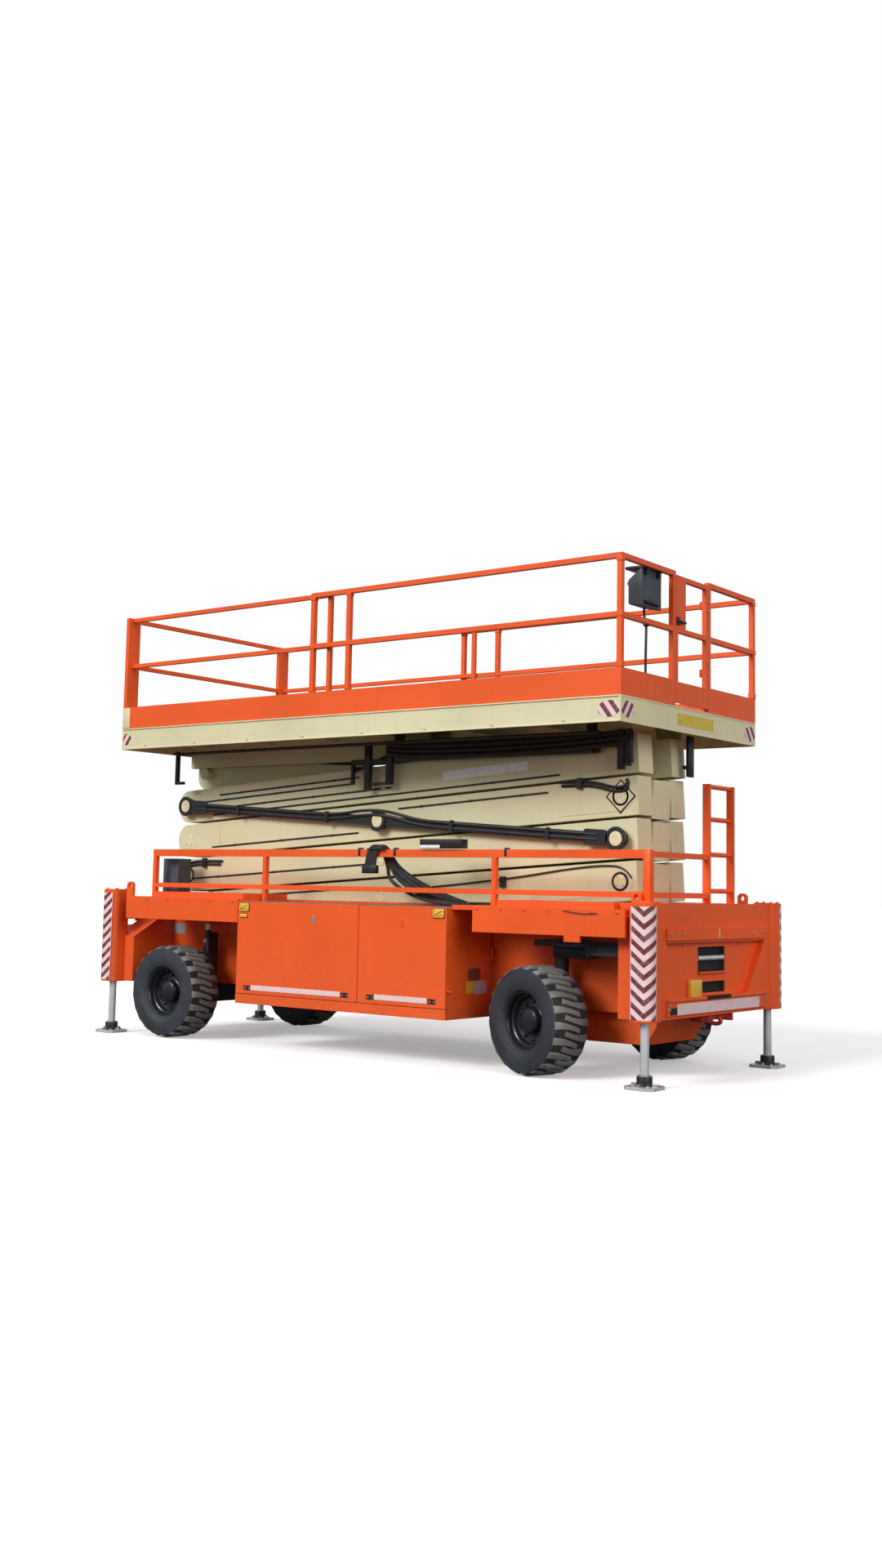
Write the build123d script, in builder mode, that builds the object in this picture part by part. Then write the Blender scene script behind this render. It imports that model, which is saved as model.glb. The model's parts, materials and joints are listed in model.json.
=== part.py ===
from build123d import *
import math
import os

# Rough terrain scissor lift, folded, standing on its wheels and outrigger pads.
# Millimetres, +X to the ladder and gate end, near side at -Y, +Z up, origin under the middle.

os.makedirs("parts", exist_ok=True)

# Clearances
PIN_GAP = 0.5
SEAT_GAP = 0.3
RUN_GAP = 5.0
LANE_GAP = 10.0
SIDE_GAP = 7.0

# Scissor stack: pin centres, arm section and the lanes either side of the middle
STACK_X = -150.0
PIN_SPAN = 5260.0
STAGE_RISE = 360.0
STAGES = 4
STAGE_GAP = 25.0
CORNER_FLAT = 27.5
INNER_HALF = 155.0
LIFT_SLOT = 85.0
ARM_WIDTH_OUT = 240.0
CAP_ROOM = 8.0
PIN_R = 45.0
SHAFT_R = 55.0
ROLLER_R = 60.0
ROLLER_WIDTH = 70.0

# Lift cylinders in a slot through the inner arms
LIFT_STAGES = (1, 3)
LIFT_FOOT = 1700.0
SLOT_PAST_FOOT = 110.0
SLOT_PAST_LEVER = 120.0
LIFT_LEVER = 300.0
LEVER_DROP = 15.0
LEVER_LANE = 50.0
LEVER_PLATE = 25.0
LEVER_R = 70.0
LIFT_PIN_R = 35.0
LIFT_EYE_R = 60.0
BARREL_R = 65.0
BARREL_LENGTH = 1150.0
ROD_R = 40.0
ROD_HIDDEN = 700.0
ROD_EYE_R = 55.0
ROD_EYE_HALF = 40.0
ROD_FOOT_ROOM = 20.0

# Hose carrier beam on the near side of the third stage
CARRIER_STAGE = 3
CARRIER_WIDTH = 60.0
CARRIER_DEPTH = 90.0
CARRIER_EYE_R = 85.0

# Main frame, its well and the roller tracks
FRAME_OVER = 226.0
FRAME_PLATE = 20.0
FRAME_LOW = 520.0
FRAME_DEPTH = 860.0
FRAME_NOSE = 250.0
FRAME_RISE = 120.0
WELL_DEPTH = 340.0
WELL_ROOM = 37.5
BULKHEAD_PITCH = 1300.0
TRACK_WIDTH = 80.0
TRACK_FLANGE = 20.0
TRACK_PAST = 360.0
BRACKET_PLATE = 35.0
BRACKET_HALF = 95.0
BRACKET_FOOT = 152.0

# Deck wings with their skirts, ledges and lashing lugs
DECK_WIDE = 680.0
SKIRT_THICK = 30.0
SKIRT_DEPTH = 220.0
SLAB = 40.0
LEDGE = 53.0
LEDGE_SETBACK = 70.0
WING_GAP = 267.0
WING_SHORT = 104.0
LEDGE_IN = (200.0, 253.0)
SKIRT_POST = (415.0, 150.0, 50.0)
LUG_WIDE = 90.0
LUG_RISE = 92.0
LUG_HOLE_R = 22.0
LUG_TRIM = 25.0
LUG_THICK = 30.0
LUG_BACK = 140.0
LUG_OVERLAP = 10.0

# End beams and outrigger housings
BEAM_LENGTH = 330.0
BEAM_SET = 140.0
BEAM_SLOPE = (450.0, 650.0)
BEAM_NECK = 700.0
LEG_SET = 70.0
LEG_SIDE = 115.0
HOUSING = 220.0
HOUSING_CORNER = 75.0
HOUSING_DROP = 5.0
HOUSING_PROUD = 7.0
HOUSING_GAP = 10.0
LEG_R = 35.0
LEG_ROOT = 165.0
LEG_TRAVEL = 400.0
LEG_BOSS_R = 58.0
LEG_BOSS_TOP = 105.0
PAD = 260.0
PAD_CORNER = 40.0
PAD_THICK = 25.0
RECESS_WIDE = (550.0, 883.0)
RECESS_Z = (160.0, 600.0)
RECESS_DEPTH = 60.0
RECESS_SLOTS = ((180.0, 270.0), (354.0, 557.0))
SLOT_HALF = 240.0
BAR_PROUD = 20.0
BAR_HALF = 890.0
BAR_RISES = ((27.0, 152.0), (620.0, 715.0))

# Cabinets and their drop doors
CABINET_SET = 845.0
CABINET_DEPTH = 947.0
CABINET_DROP = 26.0
CABINET_WALL = 20.0
SILL = 88.0
DOOR_THICK = 40.0
DOOR_SPLIT = 261.0
DOOR_GAP = 8.0
DOOR_LIFT = 5.0
HINGE_SLOT = (90.0, 45.0, 15.0)
HINGE_IN = 100.0
HINGE_LIFT = 30.0
ENGINE_ROOM = (230.0, 75.0)
ENGINE_HEIGHT = 600.0

# Deck guard rail and ladder
GUARD_IN = 320.0
GUARD_OVER = (70.0, 200.0)
GUARD_RISE = 427.0
GUARD_MID = 65.0
GUARD_CAP = 70.0
GUARD_TUBE = 45.0
GUARD_POST_IN = 41.0
LADDER_STILES = (91.0, 532.0)
LADDER_STILE = (65.0, 30.0)
LADDER_RISE = 1017.0
RUNG_RISES = (107.0, 417.0, 717.0, 997.0)
RUNG_R = 16.0

# Axles, wheels and steering
FRONT_IN = 760.0
REAR_IN = 530.0
WHEEL_IN = 240.0
TYRE_R = 450.0
TYRE_WIDTH = 370.0
TYRE_BORE = 237.0
TYRE_FACETS = 36
CARCASS_DROP = 25.0
TREAD_DROP = 12.0
SHOULDER_DROP = 48.0
LUG_BAR = 44.0
LUG_SLANT = 20.0
LUG_PAST = 12.0
LUG_SINK = 3.0
RIM_HALF = 150.0
RIM_DISC = 45.0
RIM_WALL = 14.0
CAP_R = 105.0
CAP_FACE = 60.0
CAP_OUT = 115.0
HUB_IN = 60.0
STUB_R = 50.0
STUB_END = 60.0
KINGPIN_IN = 260.0
KINGPIN_R = 35.0
YOKE_R = 65.0
YOKE_PLATE = 32.0
YOKE_RISE = 20.0
YOKE_ROOT = 40.0
AXLE_DROP = 120.0
AXLE_HALF_X = 90.0
AXLE_IN = 100.0
KNUCKLE_R = 70.0
STEER_REST = -16.0
STEER_ARM = 190.0
STEER_ARM_DROP = 10.0
STEER_ARM_THICK = 40.0
STEER_PIN_R = 14.0
TIE_PIN = 48.0
TIE_ROD_R = 20.0
TIE_EYE_R = 34.0
COLUMN_R = 58.0
COLUMN_DROP = 100.0
COLUMN_CAP = 50.0
COLUMN_CAP_X = 110.0
STAY = 90.0
CRADLE_HALF = 420.0
CRADLE_DROP = 260.0
CRADLE_LENGTH = 660.0
CRADLE_NOSE = 100.0
LOCK_AHEAD = 120.0
LOCK_R = 50.0
LOCK_ROD_R = 28.0
LOCK_SPLIT = 380.0
LOCK_DROP = 40.0
LOCK_FOOT = 10.0
LOCK_PLATE = 30.0

# Platform
PLAT_OVER = (216.0, 466.0)
PLAT_ROOM = 18.5
PLAT_SKIRT = 214.0
FLOOR_THICK = 20.0
SKIRT_WALL = 20.0
RIB_COUNT = 7
RIB_INSET = 300.0
RIB_DEPTH = 115.0
RIB_WIDTH = 60.0
RUNNER_WIDTH = 78.0
PLAT_BRACKET = 30.0
RAIL_RISE = 1155.0
RAIL_MID = 653.0
RAIL_TUBE = 44.0
TOE_RISE = 220.0
TOE_PLATE = 15.0
SIDE_POSTS = (-395.0, 43.0)
END_POSTS = (-329.0, 305.0)
EXT_PLATE = 20.0
EXT_REAR = -190.0
EXT_POST = 150.0
EXT_POST_THICK = 45.0
GATE_TUBE = 40.0
GATE_LIFT = 30.0
GATE_KICK = 180.0
GATE_DROP = 30.0
GATE_SHIELD = 150.0
GATE_HINGE_OUT = 30.0
GATE_HINGE_SIDE = 2.0
GATE_PIN_R = 8.0
GATE_EYE_R = 16.0
GATE_EYE = 50.0
GATE_LUG = 15.0
GATE_LUG_IN = 2.0
GATE_HINGES = (335.0, 220.0)
BOX_Y = (-800.0, -470.0)
BOX_HEIGHT = 330.0
BOX_DROP = 40.0
BOX_DEEP = 150.0
BOX_SLOPE = 90.0
TRAY_OUT = (15.0, 95.0)
TRAY_HEIGHT = 100.0
TRAY_DROP = 71.0
TRAY_LENGTH = 2190.0
TRAY_SHORT = 224.0
TRAY_WALL = 8.0
HANGER = 60.0

# Stack and frame lines worked out from the driving dimensions
fold_angle = math.asin(STAGE_RISE / PIN_SPAN)
pin_reach = PIN_SPAN / 2 * math.cos(fold_angle)
right_x = STACK_X + pin_reach
left_x = STACK_X - pin_reach
arm_depth = STAGE_RISE - STAGE_GAP
arm_end = arm_depth / 2
arm_corner = arm_depth / 2 - CORNER_FLAT
lane_out = (INNER_HALF + LANE_GAP, INNER_HALF + LANE_GAP + ARM_WIDTH_OUT)
stack_face = lane_out[1] + CAP_ROOM
frame_end = pin_reach + FRAME_OVER
frame_top = FRAME_LOW + FRAME_DEPTH
well_floor = frame_top - WELL_DEPTH
pin_base = well_floor + arm_depth / 2 + WELL_ROOM
track_y = (stack_face + SIDE_GAP, stack_face + SIDE_GAP + TRACK_WIDTH)
frame_half = track_y[1] + FRAME_PLATE

# Deck, beam, cabinet and wheel lines
deck_side = frame_half + DECK_WIDE
slab_low = frame_top - SLAB
ledge_top = frame_top + LEDGE
ledge_y = deck_side - LEDGE_SETBACK
skirt_low = frame_top - SKIRT_DEPTH
beam_face = frame_end + BEAM_LENGTH
beam_half = deck_side - BEAM_SET
leg_x = beam_face - LEG_SET
leg_y = deck_side - LEG_SIDE
leg_top = FRAME_LOW + LEG_ROOT - HOUSING_DROP
front_x = frame_end - FRONT_IN
rear_x = REAR_IN - frame_end
cabinet_half = front_x - CABINET_SET
cabinet_top = frame_top - CABINET_DROP
cabinet_low = cabinet_top - CABINET_DEPTH
sill_top = cabinet_low + SILL
wing_front = (cabinet_half + WING_GAP, leg_x - HOUSING / 2 - HOUSING_GAP)
wing_rear = (WING_SHORT - frame_end, -cabinet_half - RUN_GAP)
wheel_y = deck_side - WHEEL_IN
king_y = wheel_y - KINGPIN_IN
axle_low = TYRE_R - AXLE_DROP
axle_half = king_y - AXLE_IN

# Platform lines
plat_x = (left_x - PLAT_OVER[0], right_x + PLAT_OVER[1])
plat_low = pin_base + STAGE_RISE * STAGES + arm_depth / 2 + PLAT_ROOM
plat_floor = plat_low + PLAT_SKIRT
floor_under = plat_floor - FLOOR_THICK
rail_high = plat_floor + RAIL_RISE
rail_mid = plat_floor + RAIL_MID
toe_top = plat_floor + TOE_RISE
SIDES = {"near": -1, "far": 1}
ENDS = {"front": 1, "rear": -1}


def level(stage):
    """Height of the pins at the top of a stage, stage 0 being the base."""
    return pin_base + STAGE_RISE * stage


def stage_centre(stage):
    """Centre pin of a stage."""
    return Vector(STACK_X, 0, level(stage) - STAGE_RISE / 2)


def block(x, y, z, mode=Mode.ADD):
    """Box from (low, high) pairs."""
    with Locations(((x[0] + x[1]) / 2, (y[0] + y[1]) / 2, (z[0] + z[1]) / 2)):
        Box(abs(x[1] - x[0]), abs(y[1] - y[0]), abs(z[1] - z[0]), mode=mode)


def outline_on(plane, points, amount, mode=Mode.ADD):
    """Closed outline on a plane, extruded along its normal."""
    with BuildSketch(plane) as outline:
        with BuildLine():
            Polyline(*points, close=True)
        make_face()
    extrude(outline.sketch, amount=amount, mode=mode)


def side_plate(points, y, mode=Mode.ADD):
    """Outline in X and Z, extruded between two Y values."""
    outline_on(Plane.XZ.offset(-max(y)), points, abs(y[1] - y[0]), mode)


def section_along_x(points, x, mode=Mode.ADD):
    """Outline in Y and Z, extruded between two X values."""
    outline_on(Plane.YZ.offset(min(x)), points, abs(x[1] - x[0]), mode)


def round_bar(start, end, radius, mode=Mode.ADD):
    """Round bar or hole between two points."""
    run = Vector(*end) - Vector(*start)
    with BuildSketch(Plane(origin=start, z_dir=run)) as outline:
        Circle(radius)
    extrude(outline.sketch, amount=run.length, mode=mode)


def tube(start, end, size):
    """Square tube between two points, its sides level."""
    run = Vector(*end) - Vector(*start)
    across = (1, 0, 0) if abs(run.X) < abs(run.Y) + abs(run.Z) else (0, 1, 0)
    with BuildSketch(Plane(origin=start, x_dir=across, z_dir=run)) as outline:
        Rectangle(size, size)
    extrude(outline.sketch, amount=run.length)


def pin_across(x, z, y, radius, mode=Mode.ADD):
    """Pin or bore along Y at a pin centre."""
    round_bar((x, y[0], z), (x, y[1], z), radius, mode)


def both_sides(lane):
    """The near and the far copy of a (low, high) lane."""
    return ((lane[0], lane[1]), (-lane[1], -lane[0]))


def beam(low, high, lane, round_low, round_high):
    """Arm between two (x, z) pin centres across one lane, each end round or square."""
    run = Vector(high[0] - low[0], 0, high[1] - low[1])
    middle = ((low[0] + high[0]) / 2, max(lane), (low[1] + high[1]) / 2)
    with BuildSketch(Plane(origin=middle, x_dir=run, z_dir=(0, -1, 0))) as outline:
        Rectangle(run.length + 2 * arm_end, arm_depth)
        corners = outline.vertices().sort_by(Axis.X)
        rounded = (corners[:2] if round_low else []) + (corners[2:] if round_high else [])
        if rounded:
            fillet(rounded, arm_corner)
    extrude(outline.sketch, amount=abs(lane[1] - lane[0]))


def link(start, end, lane, radius):
    """Flat link with round ends between two points in the XZ plane."""
    run = end - start
    middle = (start + end) * 0.5
    with BuildSketch(Plane(origin=(middle.X, max(lane), middle.Z), x_dir=run, z_dir=(0, -1, 0))) as outline:
        SlotCenterToCenter(run.length, 2 * radius)
    extrude(outline.sketch, amount=abs(lane[1] - lane[0]))


def lug(x, z, y):
    """Lashing lug: a plate with trimmed top corners and a hole along Y."""
    side_plate(
        (
            (x[0], z[0]),
            (x[1], z[0]),
            (x[1], z[1] - LUG_TRIM),
            (x[1] - LUG_TRIM, z[1]),
            (x[0] + LUG_TRIM, z[1]),
            (x[0], z[1] - LUG_TRIM),
        ),
        y,
    )
    pin_across((x[0] + x[1]) / 2, z[1] - LUG_WIDE / 2, y, LUG_HOLE_R, Mode.SUBTRACT)


def finish(part, name):
    """Label a finished piece and write it."""
    part.label = name
    export_step(part, f"parts/{name}.step")


# Main frame: side plates, well floor, belly plate, bulkheads, roller tracks and the base pivot
inner_y = frame_half - FRAME_PLATE
track_x = (-frame_end, STACK_X + TRACK_PAST)
track_low = pin_base - ROLLER_R - PIN_GAP
track_high = pin_base + ROLLER_R + RUN_GAP
pivot_y = (lane_out[0], lane_out[0] + BRACKET_PLATE)
belly = frame_end - FRAME_NOSE
frame_side = (
    (-frame_end, FRAME_LOW + FRAME_RISE),
    (-belly, FRAME_LOW),
    (belly, FRAME_LOW),
    (frame_end, FRAME_LOW + FRAME_RISE),
    (frame_end, frame_top),
    (-frame_end, frame_top),
)
pivot_side = (
    (right_x - BRACKET_FOOT, well_floor),
    (right_x + BRACKET_FOOT, well_floor),
    (right_x + BRACKET_HALF, pin_base),
    (right_x - BRACKET_HALF, pin_base),
)
lock_x = rear_x + LOCK_AHEAD
lock_y = (frame_half + wheel_y - TYRE_WIDTH / 2) / 2
lock_top = skirt_low - LOCK_DROP
with BuildPart() as main_frame:
    for side in both_sides((inner_y, frame_half)):
        side_plate(frame_side, side)
    block((-frame_end, frame_end), (-inner_y, inner_y), (well_floor - FRAME_PLATE, well_floor))
    block((-belly, belly), (-inner_y, inner_y), (FRAME_LOW, FRAME_LOW + FRAME_PLATE))
    for step in (-1, 0, 1):
        wall_x = (step * BULKHEAD_PITCH - FRAME_PLATE / 2, step * BULKHEAD_PITCH + FRAME_PLATE / 2)
        block(wall_x, (-inner_y, inner_y), (FRAME_LOW, well_floor))
    for side in both_sides(track_y):
        block(track_x, side, (track_low - TRACK_FLANGE, track_low))
        block(track_x, side, (track_high, track_high + TRACK_FLANGE))
    for side in both_sides(pivot_y):
        side_plate(pivot_side, side)
        pin_across(right_x, pin_base, side, BRACKET_HALF)
    pin_across(right_x, pin_base, (-pivot_y[0], pivot_y[0]), PIN_R)
    for side in both_sides((frame_half, lock_y + LOCK_R)):
        block((lock_x - LOCK_R, lock_x + LOCK_R), side, (lock_top, lock_top + FRAME_PLATE))
finish(main_frame.part, "main_frame")

# End beams, each with two outrigger housings bored for the leg rods
front_outline = (
    (-beam_half, FRAME_LOW),
    (beam_half, FRAME_LOW),
    (beam_half, ledge_top),
    (-beam_half, ledge_top),
)
rear_outline = (
    (-beam_half, FRAME_LOW),
    (beam_half, FRAME_LOW),
    (beam_half, FRAME_LOW + BEAM_SLOPE[0]),
    (BEAM_NECK, FRAME_LOW + BEAM_SLOPE[1]),
    (BEAM_NECK, slab_low),
    (-BEAM_NECK, slab_low),
    (-BEAM_NECK, FRAME_LOW + BEAM_SLOPE[1]),
    (-beam_half, FRAME_LOW + BEAM_SLOPE[0]),
)
recess = (
    (-RECESS_WIDE[0], FRAME_LOW + RECESS_Z[0]),
    (RECESS_WIDE[0], FRAME_LOW + RECESS_Z[0]),
    (RECESS_WIDE[1], FRAME_LOW + RECESS_Z[1]),
    (-RECESS_WIDE[1], FRAME_LOW + RECESS_Z[1]),
)
for end_name, end in ENDS.items():
    with BuildPart() as end_beam:
        section_along_x(front_outline if end > 0 else rear_outline, (end * frame_end, end * beam_face))
        section_along_x(recess, (end * (beam_face - RECESS_DEPTH), end * beam_face), Mode.SUBTRACT)
        for low, high in BAR_RISES:
            bar_x = (end * (beam_face - RECESS_DEPTH), end * (beam_face + BAR_PROUD))
            block(bar_x, (-BAR_HALF, BAR_HALF), (FRAME_LOW + low, FRAME_LOW + high))
        with BuildSketch(Plane.XY.offset(FRAME_LOW - HOUSING_DROP)):
            with Locations((end * leg_x, -leg_y), (end * leg_x, leg_y)):
                RectangleRounded(HOUSING, HOUSING, HOUSING_CORNER)
        extrude(amount=ledge_top + HOUSING_PROUD - FRAME_LOW + HOUSING_DROP)
        if end < 0:
            arm_room = left_x - arm_end - RUN_GAP
            block((arm_room, -frame_end), (-inner_y, inner_y), (well_floor, slab_low), Mode.SUBTRACT)
        else:
            slot_x = (beam_face - 2 * RECESS_DEPTH, beam_face - RECESS_DEPTH)
            for low, high in RECESS_SLOTS:
                slot_z = (FRAME_LOW + low, FRAME_LOW + high)
                block(slot_x, (-SLOT_HALF, SLOT_HALF), slot_z, Mode.SUBTRACT)
            lug_x = (frame_end + LUG_BACK - LUG_WIDE, frame_end + LUG_BACK)
            for lane in both_sides((beam_half - LUG_BACK, beam_half - LUG_BACK + LUG_THICK)):
                lug(lug_x, (ledge_top - LUG_OVERLAP, ledge_top + LUG_RISE), lane)
        for side in SIDES.values():
            foot = (end * leg_x, side * leg_y)
            bore_z = (FRAME_LOW - HOUSING_DROP, leg_top + LEG_TRAVEL + RUN_GAP)
            round_bar((*foot, bore_z[0]), (*foot, bore_z[1]), LEG_R + PIN_GAP, Mode.SUBTRACT)
    finish(end_beam.part, f"{end_name}_end_beam")

# Outrigger legs: rod, boss and pad
for end_name, end in ENDS.items():
    for side_name, side in SIDES.items():
        foot = (end * leg_x, side * leg_y)
        with BuildPart() as leg:
            with BuildSketch(Plane.XY) as pad:
                with Locations(foot):
                    Rectangle(PAD, PAD)
                chamfer(pad.vertices(), PAD_CORNER)
            extrude(amount=PAD_THICK)
            round_bar((*foot, PAD_THICK), (*foot, LEG_BOSS_TOP), LEG_BOSS_R)
            round_bar((*foot, LEG_BOSS_TOP), (*foot, leg_top), LEG_R)
        finish(leg.part, f"leg_{end_name}_{side_name}")

# Deck wings: a slab with a raised ledge, a hanging skirt and a lashing lug at the rear corner
guard_x = (GUARD_OVER[0] - frame_end, frame_end + GUARD_OVER[1])
for side_name, side in SIDES.items():
    slab = (
        (side * frame_half, slab_low),
        (side * ledge_y, slab_low),
        (side * ledge_y, frame_top),
        (side * frame_half, frame_top),
    )
    ledge = (
        (side * frame_half, frame_top),
        (side * ledge_y, frame_top),
        (side * ledge_y, ledge_top),
        (side * frame_half, ledge_top),
    )
    skirt_in = deck_side - SKIRT_THICK
    skirt = (
        (side * skirt_in, skirt_low),
        (side * deck_side, skirt_low),
        (side * deck_side, frame_top),
        (side * ledge_y, frame_top),
        (side * ledge_y, slab_low),
        (side * skirt_in, slab_low),
    )
    skirt_y = (min(side * skirt_in, side * deck_side), max(side * skirt_in, side * deck_side))
    with BuildPart() as deck:
        slab_front = (cabinet_half + SEAT_GAP, frame_end - SEAT_GAP)
        slab_rear = (guard_x[0] - GUARD_TUBE, wing_rear[1])
        section_along_x(slab, slab_front)
        section_along_x(slab, slab_rear)
        section_along_x(ledge, (wing_front[0] + LEDGE_IN[0], slab_front[1]))
        section_along_x(ledge, (wing_rear[0] + LEDGE_IN[1], slab_rear[1]))
        section_along_x(skirt, wing_front)
        section_along_x(skirt, wing_rear)
        post_end = wing_front[1] - SKIRT_POST[0]
        block((post_end - SKIRT_POST[1], post_end), skirt_y, (skirt_low - SKIRT_POST[2], skirt_low))
        lug_x = (wing_rear[0] + LUG_OVERLAP - LUG_WIDE, wing_rear[0] + LUG_OVERLAP)
        lug(lug_x, (skirt_low, ledge_top + LUG_RISE), skirt_y)
    finish(deck.part, f"deck_{side_name}")

# Cabinets: floor with sill, roof, end walls and divider, open to the doors
door_back = deck_side - DOOR_THICK
bays = (
    (-cabinet_half + CABINET_WALL, DOOR_SPLIT - CABINET_WALL / 2),
    (DOOR_SPLIT + CABINET_WALL / 2, cabinet_half - CABINET_WALL),
)
door_spans = {
    "left": (-cabinet_half + DOOR_GAP / 2, DOOR_SPLIT - DOOR_GAP / 2),
    "right": (DOOR_SPLIT + DOOR_GAP / 2, cabinet_half - DOOR_GAP / 2),
}
bay_back = frame_half + CABINET_WALL
for side_name, side in SIDES.items():
    with BuildPart() as cabinet:
        whole = (-cabinet_half, cabinet_half)
        block(whole, (side * frame_half, side * door_back), (cabinet_low, cabinet_top))
        for bay in bays:
            bay_z = (sill_top, cabinet_top - CABINET_WALL)
            block(bay, (side * bay_back, side * door_back), bay_z, Mode.SUBTRACT)
        block(whole, (side * door_back, side * deck_side), (cabinet_low, sill_top))
    finish(cabinet.part, f"cabinet_{side_name}")
    for door_name, door_x in door_spans.items():
        with BuildPart() as door:
            door_low = sill_top + DOOR_LIFT
            block(door_x, (side * (door_back + SEAT_GAP), side * deck_side), (door_low, cabinet_top))
            for slot in (door_x[0] + HINGE_IN, door_x[1] - HINGE_IN - HINGE_SLOT[0]):
                block(
                    (slot, slot + HINGE_SLOT[0]),
                    (side * (deck_side - HINGE_SLOT[2]), side * deck_side),
                    (door_low + HINGE_LIFT, door_low + HINGE_LIFT + HINGE_SLOT[1]),
                    Mode.SUBTRACT,
                )
        finish(door.part, f"door_{side_name}_{door_name}")

with BuildPart() as engine_block:
    block(
        (bays[0][0] + ENGINE_ROOM[0], bays[0][1] - ENGINE_ROOM[0]),
        (bay_back + ENGINE_ROOM[1], door_back - ENGINE_ROOM[1]),
        (sill_top, sill_top + ENGINE_HEIGHT),
    )
finish(engine_block.part, "engine_block")

# Deck guard rail along each side, and across from the near corner to the ladder.
# The far one stops short of the ladder, as the way up to it.
guard_y = deck_side - GUARD_IN
guard_high = ledge_top + GUARD_RISE
guard_centre = guard_high - GUARD_CAP / 2
guard_mid = ledge_top + GUARD_MID
guard_posts = (
    (guard_x[0] + GUARD_TUBE / 2, frame_top),
    (GUARD_POST_IN - cabinet_half, cabinet_top),
    (wing_front[0], frame_top),
    (guard_x[1] - GUARD_TUBE / 2, ledge_top),
)
for side_name, side in SIDES.items():
    y = side * guard_y
    posts = guard_posts if side_name == "near" else guard_posts[:-1]
    run_x = (guard_x[0], posts[-1][0] + GUARD_TUBE / 2)
    with BuildPart() as guard:
        block(run_x, (y - GUARD_TUBE / 2, y + GUARD_TUBE / 2), (guard_high - GUARD_CAP, guard_high))
        tube((run_x[0], y, guard_mid), (run_x[1], y, guard_mid), GUARD_TUBE)
        for x, foot in posts:
            tube((x, y, foot), (x, y, guard_centre), GUARD_TUBE)
    finish(guard.part, f"deck_rail_{side_name}")

with BuildPart() as ladder:
    ladder_x = guard_x[1] - GUARD_TUBE / 2
    stile_x = (ladder_x - LADDER_STILE[0] / 2, ladder_x + LADDER_STILE[0] / 2)
    for y in LADDER_STILES:
        stile_y = (y - LADDER_STILE[1] / 2, y + LADDER_STILE[1] / 2)
        block(stile_x, stile_y, (ledge_top, ledge_top + LADDER_RISE))
    for rise in RUNG_RISES:
        z = ledge_top + rise
        round_bar((ladder_x, LADDER_STILES[0], z), (ladder_x, LADDER_STILES[1], z), RUNG_R)
    guard_in = guard_y - GUARD_TUBE / 2
    for z in (guard_mid, guard_centre):
        tube((ladder_x, -guard_in, z), (ladder_x, LADDER_STILES[0], z), GUARD_TUBE)
finish(ladder.part, "ladder")

# Front axle: beam in a cradle under the frame, yokes and kingpins
upper_yoke = (FRAME_LOW + YOKE_RISE, FRAME_LOW + YOKE_RISE + YOKE_PLATE)
lower_yoke = (axle_low, axle_low + YOKE_PLATE)
axle_x = (front_x - AXLE_HALF_X, front_x + AXLE_HALF_X)
cradle_end = axle_x[1] + CRADLE_LENGTH
cradle_low = FRAME_LOW - CRADLE_DROP
cradle_side = (
    (axle_x[0], axle_low),
    (axle_x[1], cradle_low),
    (cradle_end - CRADLE_NOSE, cradle_low),
    (cradle_end, FRAME_LOW - CRADLE_NOSE),
    (cradle_end, FRAME_LOW),
    (axle_x[0], FRAME_LOW),
)
yoke_x = (front_x - YOKE_R, front_x + YOKE_R)
with BuildPart() as front_axle:
    block(axle_x, (-axle_half, axle_half), (axle_low, FRAME_LOW))
    side_plate(cradle_side, (-CRADLE_HALF, CRADLE_HALF))
    for side in SIDES.values():
        y = side * king_y
        root = side * (axle_half - YOKE_ROOT)
        for z in (lower_yoke, upper_yoke):
            block(yoke_x, (root, y), z)
            round_bar((front_x, y, z[0]), (front_x, y, z[1]), YOKE_R)
        block(yoke_x, (root, side * axle_half), (axle_low, upper_yoke[1]))
        round_bar((front_x, y, axle_low), (front_x, y, upper_yoke[1]), KINGPIN_R)
finish(front_axle.part, "front_axle")

# King columns standing on the upper yokes, each with a cap and a stay to the end beam
column_top = skirt_low - COLUMN_DROP
cap_z = (column_top, column_top + COLUMN_CAP)
with BuildPart() as king_columns:
    for side in SIDES.values():
        y = side * king_y
        round_bar((front_x, y, upper_yoke[1]), (front_x, y, column_top), COLUMN_R)
        cap_x = (front_x - COLUMN_CAP_X, front_x + COLUMN_CAP_X)
        block(cap_x, (side * frame_half, side * wheel_y), cap_z)
        block((front_x, frame_end), (side * (wheel_y - STAY), side * wheel_y), cap_z)
finish(king_columns.part, "king_columns")

# Rear axle with fixed stubs and the feet of the lock cylinders
lock_foot = FRAME_LOW - LOCK_FOOT
with BuildPart() as rear_axle:
    block((rear_x - AXLE_HALF_X, rear_x + AXLE_HALF_X), (-axle_half, axle_half), (axle_low, FRAME_LOW))
    for side in SIDES.values():
        stub_y = (side * (axle_half - STUB_END), side * (wheel_y + STUB_END))
        round_bar((rear_x, stub_y[0], TYRE_R), (rear_x, stub_y[1], TYRE_R), STUB_R)
        foot_y = (side * (axle_half - YOKE_ROOT), side * (lock_y + LOCK_R))
        block((rear_x, lock_x + LOCK_R), foot_y, (lock_foot - LOCK_PLATE, lock_foot))
finish(rear_axle.part, "rear_axle")

lock_join = lock_foot + LOCK_SPLIT
with BuildPart() as lock_cylinders:
    for side in SIDES.values():
        y = side * lock_y
        round_bar((lock_x, y, lock_foot), (lock_x, y, lock_join), LOCK_R)
        round_bar((lock_x, y, lock_join), (lock_x, y, lock_top), LOCK_ROD_R)
finish(lock_cylinders.part, "axle_lock_cylinders")

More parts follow.
